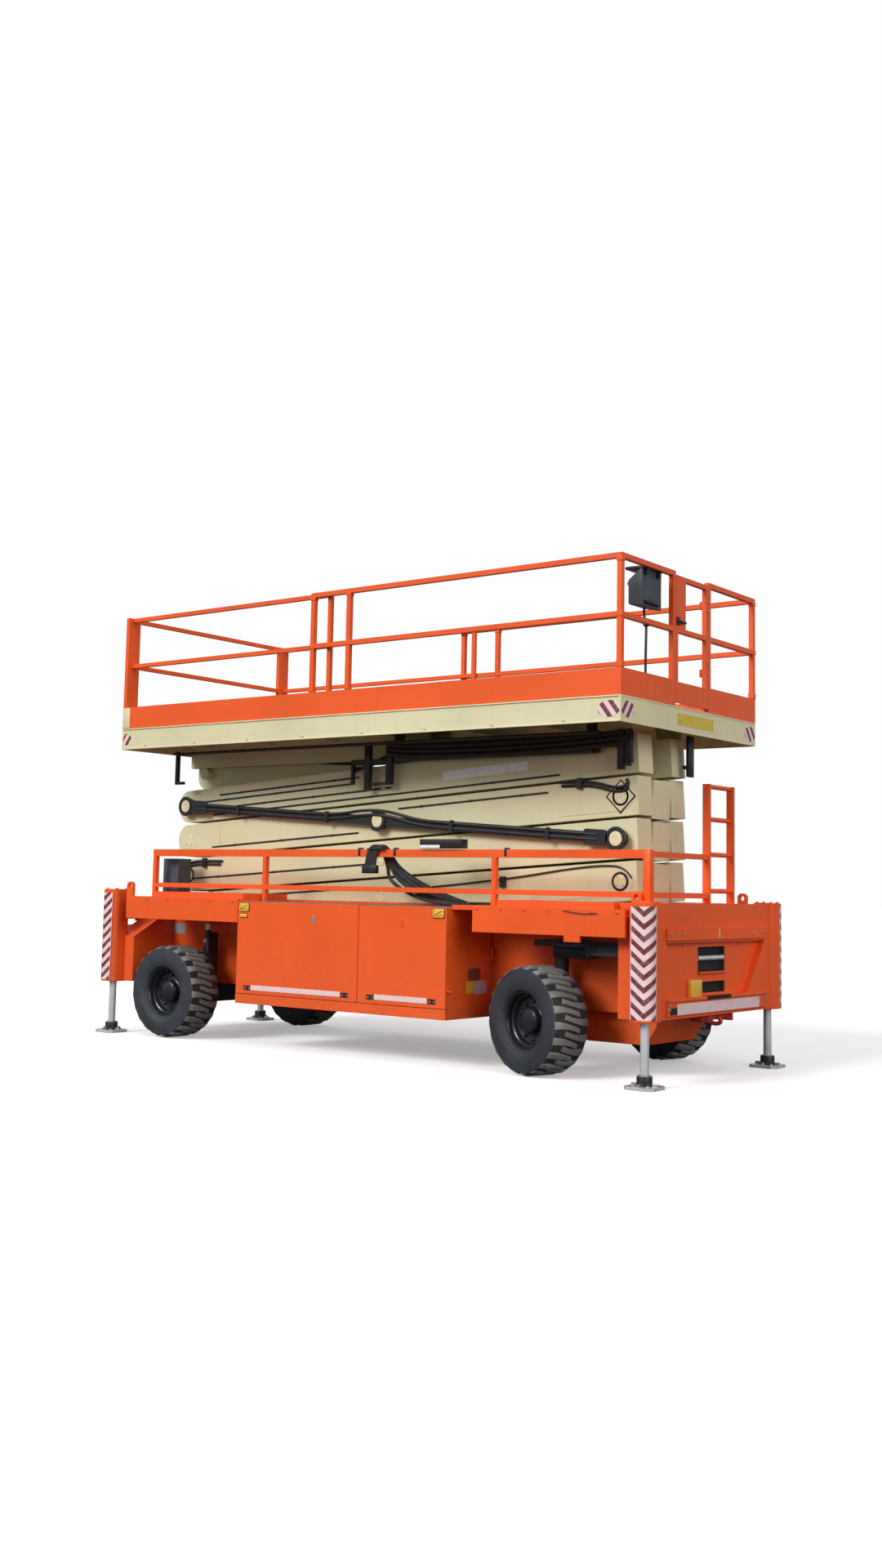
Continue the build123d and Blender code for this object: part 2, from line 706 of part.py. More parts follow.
# Steering at rest: the wheels and arms turn together about the kingpins
steer = math.radians(STEER_REST)
axle_line = Vector(-math.sin(steer), math.cos(steer), 0)
arm_reach = Vector(-STEER_ARM * math.cos(steer), -STEER_ARM * math.sin(steer), 0)
arm_top = TYRE_R - STEER_ARM_DROP
arm_low = arm_top - STEER_ARM_THICK
for side_name, side in SIDES.items():
    king = Vector(front_x, side * king_y, 0)
    arm_tip = king + arm_reach
    with BuildPart() as knuckle:
        sleeve_z = (lower_yoke[1] + SEAT_GAP, upper_yoke[0] - SEAT_GAP)
        round_bar((king.X, king.Y, sleeve_z[0]), (king.X, king.Y, sleeve_z[1]), KNUCKLE_R)
        stub_start = king + Vector(0, 0, TYRE_R)
        stub_end = stub_start + axle_line * (side * (KINGPIN_IN + STUB_END))
        round_bar(tuple(stub_start), tuple(stub_end), STUB_R)
        arm_middle = (king + arm_tip) * 0.5
        with BuildSketch(Plane(origin=(arm_middle.X, arm_middle.Y, arm_low), x_dir=arm_reach)):
            SlotCenterToCenter(STEER_ARM, 2 * TIE_EYE_R)
        extrude(amount=STEER_ARM_THICK)
        round_bar((arm_tip.X, arm_tip.Y, arm_low - TIE_PIN), (arm_tip.X, arm_tip.Y, arm_low), STEER_PIN_R)
        bore = ((king.X, king.Y, axle_low), (king.X, king.Y, upper_yoke[1]))
        round_bar(*bore, KINGPIN_R + PIN_GAP, Mode.SUBTRACT)
    finish(knuckle.part, f"knuckle_{side_name}")

tie_z = (arm_low - TIE_PIN, arm_low - SEAT_GAP)
tie_middle = (tie_z[0] + tie_z[1]) / 2
tie_eyes = [Vector(front_x, side * king_y, 0) + arm_reach for side in SIDES.values()]
with BuildPart() as tie_rod:
    tie_ends = [(eye.X, eye.Y, tie_middle) for eye in tie_eyes]
    round_bar(*tie_ends, TIE_ROD_R)
    for radius, mode in ((TIE_EYE_R, Mode.ADD), (STEER_PIN_R + PIN_GAP, Mode.SUBTRACT)):
        for eye in tie_eyes:
            round_bar((eye.X, eye.Y, tie_z[0]), (eye.X, eye.Y, tie_z[1]), radius, mode)
finish(tie_rod.part, "tie_rod")

# One tyre about its own Z: a many-sided carcass with bar lugs on alternate sides
half_width = TYRE_WIDTH / 2
tread_half = half_width - TREAD_DROP
carcass_r = TYRE_R - CARCASS_DROP
lug_reach = (LUG_BAR + LUG_SLANT) / 2
lug_tip = math.sqrt(TYRE_R**2 - lug_reach**2)
facet = 360 / TYRE_FACETS


def carcass_section(z, radius):
    """Many-sided section of the tyre, with a flat side at the bottom."""
    with BuildSketch(Plane.XY.offset(z)) as section:
        RegularPolygon(radius, TYRE_FACETS, major_radius=False, rotation=facet / 2)
    return section.sketch


with BuildPart() as tyre:
    extrude(carcass_section(-tread_half, carcass_r), amount=2 * tread_half)
    for wall in (-1, 1):
        edge = carcass_section(wall * tread_half, carcass_r)
        loft((edge, carcass_section(wall * half_width, TYRE_R - SHOULDER_DROP)), ruled=True)
    for step in range(TYRE_FACETS):
        turn = math.radians(step * facet)
        out = Vector(math.cos(turn), math.sin(turn), 0)
        wall = 1 if step % 2 else -1
        inner = -wall * LUG_PAST
        outer = wall * tread_half
        shape = (
            (inner, -lug_reach),
            (outer, LUG_SLANT - lug_reach),
            (outer, lug_reach),
            (inner, lug_reach - LUG_SLANT),
        )
        seat = Plane(origin=out * (carcass_r - LUG_SINK), x_dir=(0, 0, 1), z_dir=out)
        outline_on(seat, shape, lug_tip - carcass_r + LUG_SINK)
    round_bar((0, 0, -half_width), (0, 0, half_width), TYRE_BORE, Mode.SUBTRACT)

# One rim about the same axis: barrel, dished disc with hub cap, and the stub bore behind it
barrel = TYRE_BORE - SEAT_GAP
wall_r = barrel - RIM_WALL
bore_r = STUB_R + PIN_GAP
bore_end = STUB_END + PIN_GAP
with BuildPart() as rim:
    with BuildSketch(Plane.XZ):
        with BuildLine():
            Polyline(
                (0, bore_end),
                (0, CAP_OUT),
                (CAP_FACE, CAP_OUT),
                (CAP_R, RIM_DISC),
                (wall_r, RIM_DISC),
                (wall_r, RIM_HALF),
                (barrel, RIM_HALF),
                (barrel, -RIM_HALF),
                (wall_r, -RIM_HALF),
                (wall_r, -HUB_IN),
                (bore_r, -HUB_IN),
                (bore_r, bore_end),
                close=True,
            )
        make_face()
    revolve(axis=Axis.Z)

# Four wheels, Z of each pointing outwards and X up
for side_name, side in SIDES.items():
    outward = axle_line * side
    steered = Vector(front_x, side * king_y, TYRE_R) + outward * KINGPIN_IN
    for wheel_name, centre, axis in (
        (f"front_{side_name}", steered, outward),
        (f"rear_{side_name}", Vector(rear_x, side * wheel_y, TYRE_R), Vector(0, side, 0)),
    ):
        place = Location(Plane(origin=centre, x_dir=(0, 0, 1), z_dir=axis))
        finish(tyre.part.moved(place), f"tyre_{wheel_name}")
        finish(rim.part.moved(place), f"rim_{wheel_name}")

# Scissor arms. Outer arms rise to the right and carry the pins; inner arms rise to the left.
back = Vector(-math.cos(fold_angle), 0, math.sin(fold_angle))
drop = fold_angle + math.radians(LEVER_DROP)
lever_run = Vector(-math.cos(drop), 0, -math.sin(drop)) * LIFT_LEVER
carrier_lane = (-stack_face - SIDE_GAP - CARRIER_WIDTH, -stack_face - SIDE_GAP)
carrier_pin = (carrier_lane[0] - SIDE_GAP, lane_out[0])
bracket_lane = (stack_face + SIDE_GAP, stack_face + SIDE_GAP + PLAT_BRACKET)
between = (-lane_out[0], lane_out[0])
inner_lane = (-INNER_HALF, INNER_HALF)
slot_from = -LIFT_LEVER - SLOT_PAST_LEVER
slot_to = LIFT_FOOT + SLOT_PAST_FOOT
for stage in range(1, STAGES + 1):
    low = (left_x, level(stage - 1))
    high = (right_x, level(stage))
    middle = stage_centre(stage)
    tip = middle + lever_run
    with BuildPart() as outer_arm:
        for lane in both_sides(lane_out):
            beam(low, high, lane, True, False)
        pin_across(middle.X, middle.Z, carrier_pin if stage == CARRIER_STAGE else between, SHAFT_R)
        if stage < STAGES:
            pin_across(*high, carrier_pin if stage == CARRIER_STAGE - 1 else between, PIN_R)
        else:
            for lane in both_sides((lane_out[0], bracket_lane[1] + RUN_GAP)):
                pin_across(*high, lane, PIN_R)
        if stage > 1:
            pin_across(*low, carrier_pin if stage == CARRIER_STAGE + 1 else between, PIN_R)
        else:
            for lane in both_sides((lane_out[0], track_y[0])):
                pin_across(*low, lane, PIN_R)
            for lane in both_sides((track_y[0], track_y[0] + ROLLER_WIDTH)):
                pin_across(*low, lane, ROLLER_R)
        if stage in LIFT_STAGES:
            for lane in both_sides((LEVER_LANE, LEVER_LANE + LEVER_PLATE)):
                link(middle, tip, lane, LEVER_R)
            pin_across(tip.X, tip.Z, (-LIFT_SLOT, LIFT_SLOT), LIFT_PIN_R, Mode.SUBTRACT)
    finish(outer_arm.part, f"outer_arm_{stage}")

    low = (right_x, level(stage - 1))
    high = (left_x, level(stage))
    foot = middle + back * LIFT_FOOT
    with BuildPart() as inner_arm:
        beam(low, high, inner_lane, stage == 1, True)
        if stage in LIFT_STAGES:
            slot_seat = Plane(origin=middle + Vector(0, LIFT_SLOT, 0), x_dir=back, z_dir=(0, -1, 0))
            slot_side = (
                (slot_from, -arm_depth),
                (slot_to, -arm_depth),
                (slot_to, arm_depth),
                (slot_from, arm_depth),
            )
            outline_on(slot_seat, slot_side, 2 * LIFT_SLOT, Mode.SUBTRACT)
            pin_across(foot.X, foot.Z, inner_lane, LIFT_PIN_R)
        bores = [(low, PIN_R), ((middle.X, middle.Z), SHAFT_R)]
        if stage == STAGES:
            roller_out = lane_out[0] + ROLLER_WIDTH
            for lane in both_sides((INNER_HALF, roller_out)):
                pin_across(*high, lane, PIN_R)
            for lane in both_sides((lane_out[0], roller_out)):
                pin_across(*high, lane, ROLLER_R)
        else:
            bores.append((high, PIN_R))
        for (x, z), radius in bores:
            pin_across(x, z, inner_lane, radius + PIN_GAP, Mode.SUBTRACT)
    finish(inner_arm.part, f"inner_arm_{stage}")

    if stage in LIFT_STAGES:
        push = (tip - foot).normalized()
        barrel_end = foot + push * BARREL_LENGTH
        rod_start = barrel_end - push * ROD_HIDDEN
        with BuildPart() as lift_barrel:
            pin_across(foot.X, foot.Z, (-LIFT_EYE_R, LIFT_EYE_R), LIFT_EYE_R)
            round_bar(tuple(foot), tuple(barrel_end), BARREL_R)
            bore_start = rod_start - push * ROD_FOOT_ROOM
            round_bar(tuple(bore_start), tuple(barrel_end), ROD_R + PIN_GAP, Mode.SUBTRACT)
            pin_across(foot.X, foot.Z, (-BARREL_R, BARREL_R), LIFT_PIN_R + PIN_GAP, Mode.SUBTRACT)
        finish(lift_barrel.part, f"lift_barrel_{stage}")
        with BuildPart() as lift_rod:
            round_bar(tuple(rod_start), tuple(tip), ROD_R)
            pin_across(tip.X, tip.Z, (-ROD_EYE_HALF, ROD_EYE_HALF), ROD_EYE_R)
            pin_across(tip.X, tip.Z, (-ROD_EYE_R, ROD_EYE_R), LIFT_PIN_R, Mode.SUBTRACT)
        finish(lift_rod.part, f"lift_rod_{stage}")

# Hose carrier beam beside the third inner arm, its three eyes on the pin ends
carrier_low = Vector(right_x, 0, level(CARRIER_STAGE - 1))
carrier_high = Vector(left_x, 0, level(CARRIER_STAGE))
carrier_eyes = (
    (carrier_low, PIN_R),
    (stage_centre(CARRIER_STAGE), SHAFT_R),
    (carrier_high, PIN_R),
)
with BuildPart() as hose_carrier:
    link(carrier_low, carrier_high, carrier_lane, CARRIER_DEPTH / 2)
    for eye, radius in carrier_eyes:
        pin_across(eye.X, eye.Z, carrier_lane, CARRIER_EYE_R)
    for eye, radius in carrier_eyes:
        pin_across(eye.X, eye.Z, carrier_lane, radius + PIN_GAP, Mode.SUBTRACT)
finish(hose_carrier.part, "hose_carrier")

# Platform tray: floor, skirts, ribs, roller runners and the pivot brackets
top_pin = level(STAGES)
runner_y = (INNER_HALF + SIDE_GAP, INNER_HALF + SIDE_GAP + RUNNER_WIDTH)
runner_low = top_pin + ROLLER_R + PIN_GAP
rib_low = floor_under - RIB_DEPTH
rib_pitch = (plat_x[1] - plat_x[0] - 2 * RIB_INSET) / (RIB_COUNT - 1)
inside_x = (plat_x[0] + SKIRT_WALL, plat_x[1] - SKIRT_WALL)
inside_y = deck_side - SKIRT_WALL
bracket_side = (
    (right_x - BRACKET_HALF, top_pin),
    (right_x + BRACKET_HALF, top_pin),
    (right_x + BRACKET_FOOT, floor_under),
    (right_x - BRACKET_FOOT, floor_under),
)
with BuildPart() as platform_deck:
    block(plat_x, (-deck_side, deck_side), (plat_low, plat_floor))
    block(inside_x, (-inside_y, inside_y), (plat_low, floor_under), Mode.SUBTRACT)
    for step in range(RIB_COUNT):
        rib_x = plat_x[0] + RIB_INSET + step * rib_pitch
        block((rib_x - RIB_WIDTH / 2, rib_x + RIB_WIDTH / 2), (-inside_y, inside_y), (rib_low, floor_under))
    for lane in both_sides(runner_y):
        block((inside_x[0], track_x[1]), lane, (runner_low, floor_under))
    for lane in both_sides(bracket_lane):
        side_plate(bracket_side, lane)
        pin_across(right_x, top_pin, lane, BRACKET_HALF)
        pin_across(right_x, top_pin, lane, PIN_R + PIN_GAP, Mode.SUBTRACT)
finish(platform_deck.part, "platform_deck")

tray_y = (-stack_face - TRAY_OUT[1], -stack_face - TRAY_OUT[0])
tray_x = (right_x - TRAY_SHORT - TRAY_LENGTH, right_x - TRAY_SHORT)
tray_z = (plat_low - TRAY_DROP - TRAY_HEIGHT, plat_low - TRAY_DROP)
with BuildPart() as hose_tray:
    block(tray_x, tray_y, tray_z)
    tray_in = (tray_y[0] + TRAY_WALL, tray_y[1] - TRAY_WALL)
    block(tray_x, tray_in, (tray_z[0] + TRAY_WALL, tray_z[1]), Mode.SUBTRACT)
    for x in (tray_x[0], tray_x[1] - HANGER):
        block((x, x + HANGER), tray_y, (tray_z[0], floor_under))
finish(hose_tray.part, "hose_tray")

# Platform side rails: toe board, posts, mid rail and top rail
rail_y = deck_side - RAIL_TUBE / 2
rail_centre = rail_high - RAIL_TUBE / 2
corner_x = plat_x[1] - RAIL_TUBE / 2
ext_end = plat_x[0] + EXT_POST_THICK
for side_name, side in SIDES.items():
    with BuildPart() as side_rail:
        toe_y = (side * (deck_side - TOE_PLATE), side * deck_side)
        block((ext_end + RUN_GAP, plat_x[1]), toe_y, (plat_floor, toe_top))
        for x in (*SIDE_POSTS, corner_x):
            tube((x, side * rail_y, plat_floor), (x, side * rail_y, rail_high), RAIL_TUBE)
        for z in (rail_mid, rail_centre):
            rail_start = SIDE_POSTS[0] - RAIL_TUBE / 2
            tube((rail_start, side * rail_y, z), (corner_x, side * rail_y, z), RAIL_TUBE)
    finish(side_rail.part, f"platform_rail_{side_name}")

# End rail in two halves beside the gate, with the gate's hinge brackets on the far post
gate_y = (END_POSTS[0] + RAIL_TUBE / 2 + RUN_GAP, END_POSTS[1] - RAIL_TUBE / 2 - RUN_GAP)
gate_x = (plat_x[1] - GATE_TUBE, plat_x[1])
gate_z = (plat_floor + GATE_LIFT, rail_high - GATE_DROP)
hinge_x = gate_x[0] - GATE_HINGE_OUT
hinge_y = gate_y[1] + GATE_HINGE_SIDE
hinge_heights = (plat_floor + GATE_HINGES[0], rail_high - GATE_HINGES[1])
corner_in = deck_side - RAIL_TUBE
toe_x = (plat_x[1] - TOE_PLATE, plat_x[1])
with BuildPart() as end_rail:
    for outer_y, post_y in ((-corner_in, END_POSTS[0]), (corner_in, END_POSTS[1])):
        tube((corner_x, post_y, plat_floor), (corner_x, post_y, rail_high), RAIL_TUBE)
        for z in (rail_mid, rail_centre):
            tube((corner_x, outer_y, z), (corner_x, post_y, z), RAIL_TUBE)
        block(toe_x, (outer_y, post_y), (plat_floor, toe_top))
    lug_r = GATE_EYE_R - GATE_LUG_IN
    for z in hinge_heights:
        lug_z = (z - GATE_LUG, z - PIN_GAP)
        round_bar((hinge_x, hinge_y, lug_z[0]), (hinge_x, hinge_y, lug_z[1]), lug_r)
        block((hinge_x - lug_r, corner_x), (hinge_y, END_POSTS[1]), lug_z)
        round_bar((hinge_x, hinge_y, lug_z[0]), (hinge_x, hinge_y, z + GATE_EYE), GATE_PIN_R)
finish(end_rail.part, "platform_rail_end")

gate_mid_x = (gate_x[0] + gate_x[1]) / 2
stiles = (gate_y[0] + GATE_TUBE / 2, gate_y[1] - GATE_TUBE / 2)
with BuildPart() as gate:
    for y in stiles:
        tube((gate_mid_x, y, gate_z[0]), (gate_mid_x, y, gate_z[1]), GATE_TUBE)
    for z in (rail_mid, gate_z[1] - GATE_TUBE / 2):
        tube((gate_mid_x, stiles[0], z), (gate_mid_x, stiles[1], z), GATE_TUBE)
    block(toe_x, stiles, (gate_z[0], gate_z[0] + GATE_KICK))
    block(toe_x, (stiles[0], stiles[0] + GATE_SHIELD), (rail_mid, gate_z[1]))
    for z in hinge_heights:
        eye = ((hinge_x, hinge_y, z), (hinge_x, hinge_y, z + GATE_EYE))
        round_bar(*eye, GATE_EYE_R)
        block((hinge_x, gate_mid_x), (hinge_y - GATE_EYE_R, gate_y[1]), (z, z + GATE_EYE))
        round_bar(*eye, GATE_PIN_R + PIN_GAP, Mode.SUBTRACT)
finish(gate.part, "gate")

# Roll-out extension: deck plate on the floor, end frame and side rails inside the main rails
ext_y = deck_side - RAIL_TUBE - RUN_GAP
ext_rail = ext_y - GATE_TUBE / 2
ext_post_x = EXT_REAR - GATE_TUBE
plate_z = (plat_floor + SEAT_GAP, plat_floor + SEAT_GAP + EXT_PLATE)
end_x = plat_x[0] + EXT_POST_THICK / 2
post_in = deck_side - EXT_POST
with BuildPart() as extension:
    block((plat_x[0], EXT_REAR), (-ext_y, ext_y), plate_z)
    for side in SIDES.values():
        y = side * ext_rail
        block((plat_x[0], ext_end), (side * post_in, side * deck_side), (plate_z[0], rail_high))
        tube((ext_post_x, y, plate_z[0]), (ext_post_x, y, rail_centre), GATE_TUBE)
        for z in (rail_mid, rail_centre):
            tube((end_x, y, z), (ext_post_x + GATE_TUBE / 2, y, z), GATE_TUBE)
    for z in (rail_mid, rail_centre):
        tube((end_x, -post_in, z), (end_x, post_in, z), GATE_TUBE)
    block((plat_x[0], plat_x[0] + TOE_PLATE), (-post_in, post_in), (plate_z[0], toe_top))
finish(extension.part, "extension")

box_x = (plat_x[1] - RAIL_TUBE - BOX_DEEP, plat_x[1] - RAIL_TUBE)
box_top = rail_high - BOX_DROP
with BuildPart() as control_box:
    side_plate(
        (
            (box_x[1], box_top - BOX_HEIGHT),
            (box_x[1], box_top),
            (box_x[1] - BOX_SLOPE, box_top),
            (box_x[0], box_top - BOX_SLOPE),
            (box_x[0], box_top - BOX_HEIGHT),
        ),
        BOX_Y,
    )
finish(control_box.part, "control_box")
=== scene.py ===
import json
import math

import bpy
from mathutils import Matrix, Vector


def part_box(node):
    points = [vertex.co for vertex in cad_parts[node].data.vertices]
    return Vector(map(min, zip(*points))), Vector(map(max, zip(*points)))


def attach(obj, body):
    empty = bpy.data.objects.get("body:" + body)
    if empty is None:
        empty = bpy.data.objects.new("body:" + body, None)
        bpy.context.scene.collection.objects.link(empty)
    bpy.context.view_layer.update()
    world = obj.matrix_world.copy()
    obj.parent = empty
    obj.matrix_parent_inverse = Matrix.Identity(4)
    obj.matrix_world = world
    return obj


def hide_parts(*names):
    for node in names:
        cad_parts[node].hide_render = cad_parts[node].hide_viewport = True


bl_info = {
    "name": "Scissor lift dressing",
    "version": (1, 0, 0),
    "blender": (4, 5, 0),
    "location": "View3D > Sidebar > Lift",
    "description": "Finishes, wheels, trim and studio around the packed rough terrain scissor lift",
    "category": "Object",
}

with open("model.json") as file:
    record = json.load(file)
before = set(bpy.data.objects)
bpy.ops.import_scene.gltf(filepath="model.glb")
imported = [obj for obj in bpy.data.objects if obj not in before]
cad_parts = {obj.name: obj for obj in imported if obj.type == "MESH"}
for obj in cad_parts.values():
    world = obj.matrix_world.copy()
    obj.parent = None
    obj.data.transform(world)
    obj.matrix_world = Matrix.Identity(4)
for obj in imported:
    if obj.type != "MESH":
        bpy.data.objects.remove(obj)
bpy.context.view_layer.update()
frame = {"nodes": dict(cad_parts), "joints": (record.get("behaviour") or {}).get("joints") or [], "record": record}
JOINTS = {joint["name"]: joint for joint in frame["joints"]}
SIDES = {"near": -1, "far": 1}
ENDS = {"front": 1, "rear": -1}
STAGES = (1, 2, 3, 4)
ALL_ROUND = 2 * math.pi
SMOOTH_BELOW = math.radians(35)


def colour(name, red, green, blue, note):
    """A colour that a user may change."""
    return bpy.props.FloatVectorProperty(
        name=name, description=note, subtype="COLOR", size=3, min=0, max=1, default=(red, green, blue)
    )


def length(name, value, note):
    """A size in metres that a user may change."""
    return bpy.props.FloatProperty(
        name=name, description=note, subtype="DISTANCE", unit="LENGTH", min=0, default=value
    )


class LiftColours(bpy.types.PropertyGroup):
    """Colours of the finishes"""

    orange: colour("Orange", 0.88, 0.108, 0.015, "Enamel of chassis, doors and rails")
    cream: colour("Cream", 0.74, 0.68, 0.43, "Enamel of arms and platform tray")
    black: colour("Black", 0.018, 0.019, 0.021, "Satin black of axle parts and hose carrier")
    rim: colour("Rim", 0.014, 0.017, 0.022, "Gloss black of rims")
    sidewall: colour("Sidewall", 0.018, 0.023, 0.032, "Rubber of tyre walls")
    tread: colour("Tread", 0.30, 0.29, 0.275, "Dust on the tread bars")
    chrome: colour("Chrome", 0.88, 0.90, 0.94, "Plated rods")
    steel: colour("Steel", 0.42, 0.41, 0.38, "Bare pin ends")
    amber: colour("Amber", 0.92, 0.52, 0.05, "Marker lamps")
    plate: colour("Plate", 0.72, 0.50, 0.03, "Blank yellow plate")
    reflect: colour("Reflector", 0.88, 0.66, 0.66, "Pale reflective tape")
    maroon: colour("Maroon", 0.17, 0.022, 0.028, "Dark stripes")
    console: colour("Console", 0.050, 0.064, 0.084, "Moulded control station")
    hose: colour("Hose", 0.011, 0.011, 0.012, "Hose rubber")


class LiftSizes(bpy.types.PropertyGroup):
    """Sizes of the trim"""

    pin_cap: length("Pin cap", 0.064, "Radius of a pin cap on an arm")
    cap_proud: length("Cap height", 0.0075, "How far a pin cap stands off its arm")
    bolt: length("Bolt", 0.012, "Radius across a bolt head's corners")
    wheel_nut: length("Wheel nut", 0.019, "Radius across a wheel nut's corners")
    hose: length("Hose", 0.016, "Radius of a hydraulic hose")
    tape: length("Tape", 0.0015, "Thickness of tapes and blank plates")
    chevron_pitch: length("Chevron pitch", 0.098, "Height of one pair of chevron stripes")


def colours():
    """The colour settings."""
    return bpy.context.scene.lift_colours


def sizes():
    """The size settings."""
    return bpy.context.scene.lift_sizes


def math_node(operation, swapped=False):
    """A method of Value that adds a Math node, with its two values swapped where asked."""

    def method(self, other=0.0):
        first, second = (other, self) if swapped else (self, other)
        return self.finish.node("ShaderNodeMath", {"operation": operation}, _0=first, _1=second)

    return method


class Value:
    """A node's output, with arithmetic that adds Math nodes."""

    def __init__(self, finish, socket):
        self.finish = finish
        self.socket = socket

    __add__, __radd__ = math_node("ADD"), math_node("ADD", True)
    __sub__, __rsub__ = math_node("SUBTRACT"), math_node("SUBTRACT", True)
    __mul__, __rmul__ = math_node("MULTIPLY"), math_node("MULTIPLY", True)
    __gt__, __mod__ = math_node("GREATER_THAN"), math_node("FLOORED_MODULO")
    __abs__ = math_node("ABSOLUTE")

    def between(self, low, high):
        """0 below low, 1 above high, even between."""
        return self.finish.node(
            "ShaderNodeMapRange", {"clamp": True}, Value=self, From_Min=low, From_Max=high
        )


class Finish:
    """One material and the nodes in it."""

    def __init__(self, name):
        self.material = bpy.data.materials.new(name)
        self.material.use_nodes = True
        self.tree = self.material.node_tree
        self.tree.nodes.clear()
        self.place = self.node("ShaderNodeTexCoord", output="Object")

    def node(self, kind, settings=None, output=0, **sockets):
        """Adds a node: its settings first, then the values or links of its sockets."""
        made = self.tree.nodes.new(kind)
        for key, value in (settings or {}).items():
            setattr(made, key, value)
        for key, value in sockets.items():
            socket = made.inputs[int(key[1:])] if key[0] == "_" else made.inputs[key.replace("_", " ")]
            if isinstance(value, Value):
                self.tree.links.new(value.socket, socket)
            elif isinstance(value, (int, float)) or len(value) == len(socket.default_value):
                socket.default_value = value
            else:
                socket.default_value = (*value, 1.0)
        return Value(self, made.outputs[output]) if made.outputs else None

    def noise(self, scale, detail=4.0, roughness=0.55, stretch=None):
        """Cloudy value between about 0.3 and 0.7, stretched along an axis where asked."""
        place = self.place
        if stretch:
            place = self.node("ShaderNodeMapping", Vector=place, Scale=stretch)
        return self.node(
            "ShaderNodeTexNoise", Vector=place, Scale=scale, Detail=detail, Roughness=roughness
        )

    def axis(self, letter):
        """One coordinate of the surface point in metres."""
        return self.node("ShaderNodeSeparateXYZ", output=letter, Vector=self.place)

    def uv(self):
        """The two coordinates of the surface point on the piece's own UV map."""
        across = self.node("ShaderNodeUVMap", output="UV")
        return [self.node("ShaderNodeSeparateXYZ", output=letter, Vector=across) for letter in "XY"]

    def mix(self, share, first, second):
        """Mixes two colours by a share."""
        settings = {"data_type": "RGBA", "clamp_factor": True}
        return self.node("ShaderNodeMix", settings, output=2, _0=share, _6=first, _7=second)

    def edge(self, radius):
        """1 on an edge of that radius, 0 on a flat face."""
        rounded = self.node("ShaderNodeBevel", {"samples": 4}, Radius=radius)
        true_normal = self.node("ShaderNodeNewGeometry", output="Normal")
        facing = self.node("ShaderNodeVectorMath", {"operation": "DOT_PRODUCT"}, output="Value",
                           _0=rounded, _1=true_normal)
        return (1.0 - facing).between(0.005, 0.12), rounded

    def bump(self, height, strength, distance, normal=None):
        """Normal roughened by a height."""
        more = {"Normal": normal} if normal else {}
        return self.node("ShaderNodeBump", Height=height, Strength=strength, Distance=distance, **more)

    def surface(self, **sockets):
        """Ends the material in one Principled shader."""
        shader = self.node("ShaderNodeBsdfPrincipled", **sockets)
        self.node("ShaderNodeOutputMaterial", Surface=shader)
        return self.material


def shade(tone, factor):
    """A colour made darker or lighter."""
    return tuple(min(1.0, part * factor) for part in tone)


ROAD_DUST = (0.20, 0.13, 0.085)
WORN_FLOOR = (0.17, 0.165, 0.16)


def enamel(name, tone, roughness, dirt, painted_edge_light, coat, floor=None):
    """Sprayed paint: cloudy, with faint runs, low dust, a painted highlight along the edges (painted shade where
    the edge factor is below 1) and orange peel; grey at a floor.
    """
    finish = Finish(name)
    cloud = finish.noise(1.1, 5.0)
    fleck = finish.noise(38.0, 3.0)
    runs = finish.noise(2.2, 4.0, stretch=(7.0, 7.0, 0.5))
    edge, rounded = finish.edge(0.005)
    base = finish.mix(cloud.between(0.35, 0.68), shade(tone, 0.93), shade(tone, 1.05))
    base = finish.mix(runs.between(0.56, 0.74) * dirt * 0.5, base, shade(tone, 0.55))
    low = 1.0 - finish.axis("Z").between(0.25, 1.25)
    base = finish.mix(low * fleck.between(0.38, 0.66) * dirt, base, ROAD_DUST)
    # Painted highlight along the edges: patches on them lightened by the edge factor, darkened as painted shade
    # where it is below 1.
    base = finish.mix(edge * fleck.between(0.36, 0.6) * 0.55, base, shade(tone, painted_edge_light))
    if floor is not None:
        on_floor = finish.axis("Z").between(floor - 0.0006, floor - 0.0003)
        base = finish.mix(on_floor, base, WORN_FLOOR)
    peel = finish.noise(240.0, 2.0)
    rough = roughness + cloud * 0.12 + low * fleck * dirt * 0.4
    return finish.surface(
        Base_Color=base, Roughness=rough, Coat_Weight=coat * (1.0 - low * 0.6), Coat_Roughness=0.15,
        Specular_IOR_Level=0.3, Normal=finish.bump(peel, 0.06, 0.002, rounded),
    )


def rubber(name, tone, dust, dust_share):
    """Tyre rubber: mottled black, dusty, with a fine grain."""
    finish = Finish(name)
    cloud = finish.noise(3.5, 5.0)
    grain = finish.noise(170.0, 3.0)
    base = finish.mix(cloud.between(0.35, 0.68), shade(tone, 0.8), shade(tone, 1.25))
    base = finish.mix(grain.between(0.35, 0.65) * cloud.between(0.3, 0.6) * dust_share, base, dust)
    return finish.surface(
        Base_Color=base, Roughness=0.48 + grain * 0.25, Normal=finish.bump(grain, 0.25, 0.002)
    )


def plated(name, tone, roughness):
    """Bright metal with fine lengthwise scratches and a little grey haze."""
    finish = Finish(name)
    haze = finish.noise(6.0, 4.0)
    scratch = finish.noise(90.0, 3.0, stretch=(1.0, 1.0, 0.03))
    base = finish.mix(haze.between(0.4, 0.7), tone, shade(tone, 0.72))
    return finish.surface(
        Base_Color=base, Metallic=0.55 - haze * 0.2, Roughness=roughness + scratch * 0.18,
        Normal=finish.bump(scratch, 0.04, 0.001),
    )


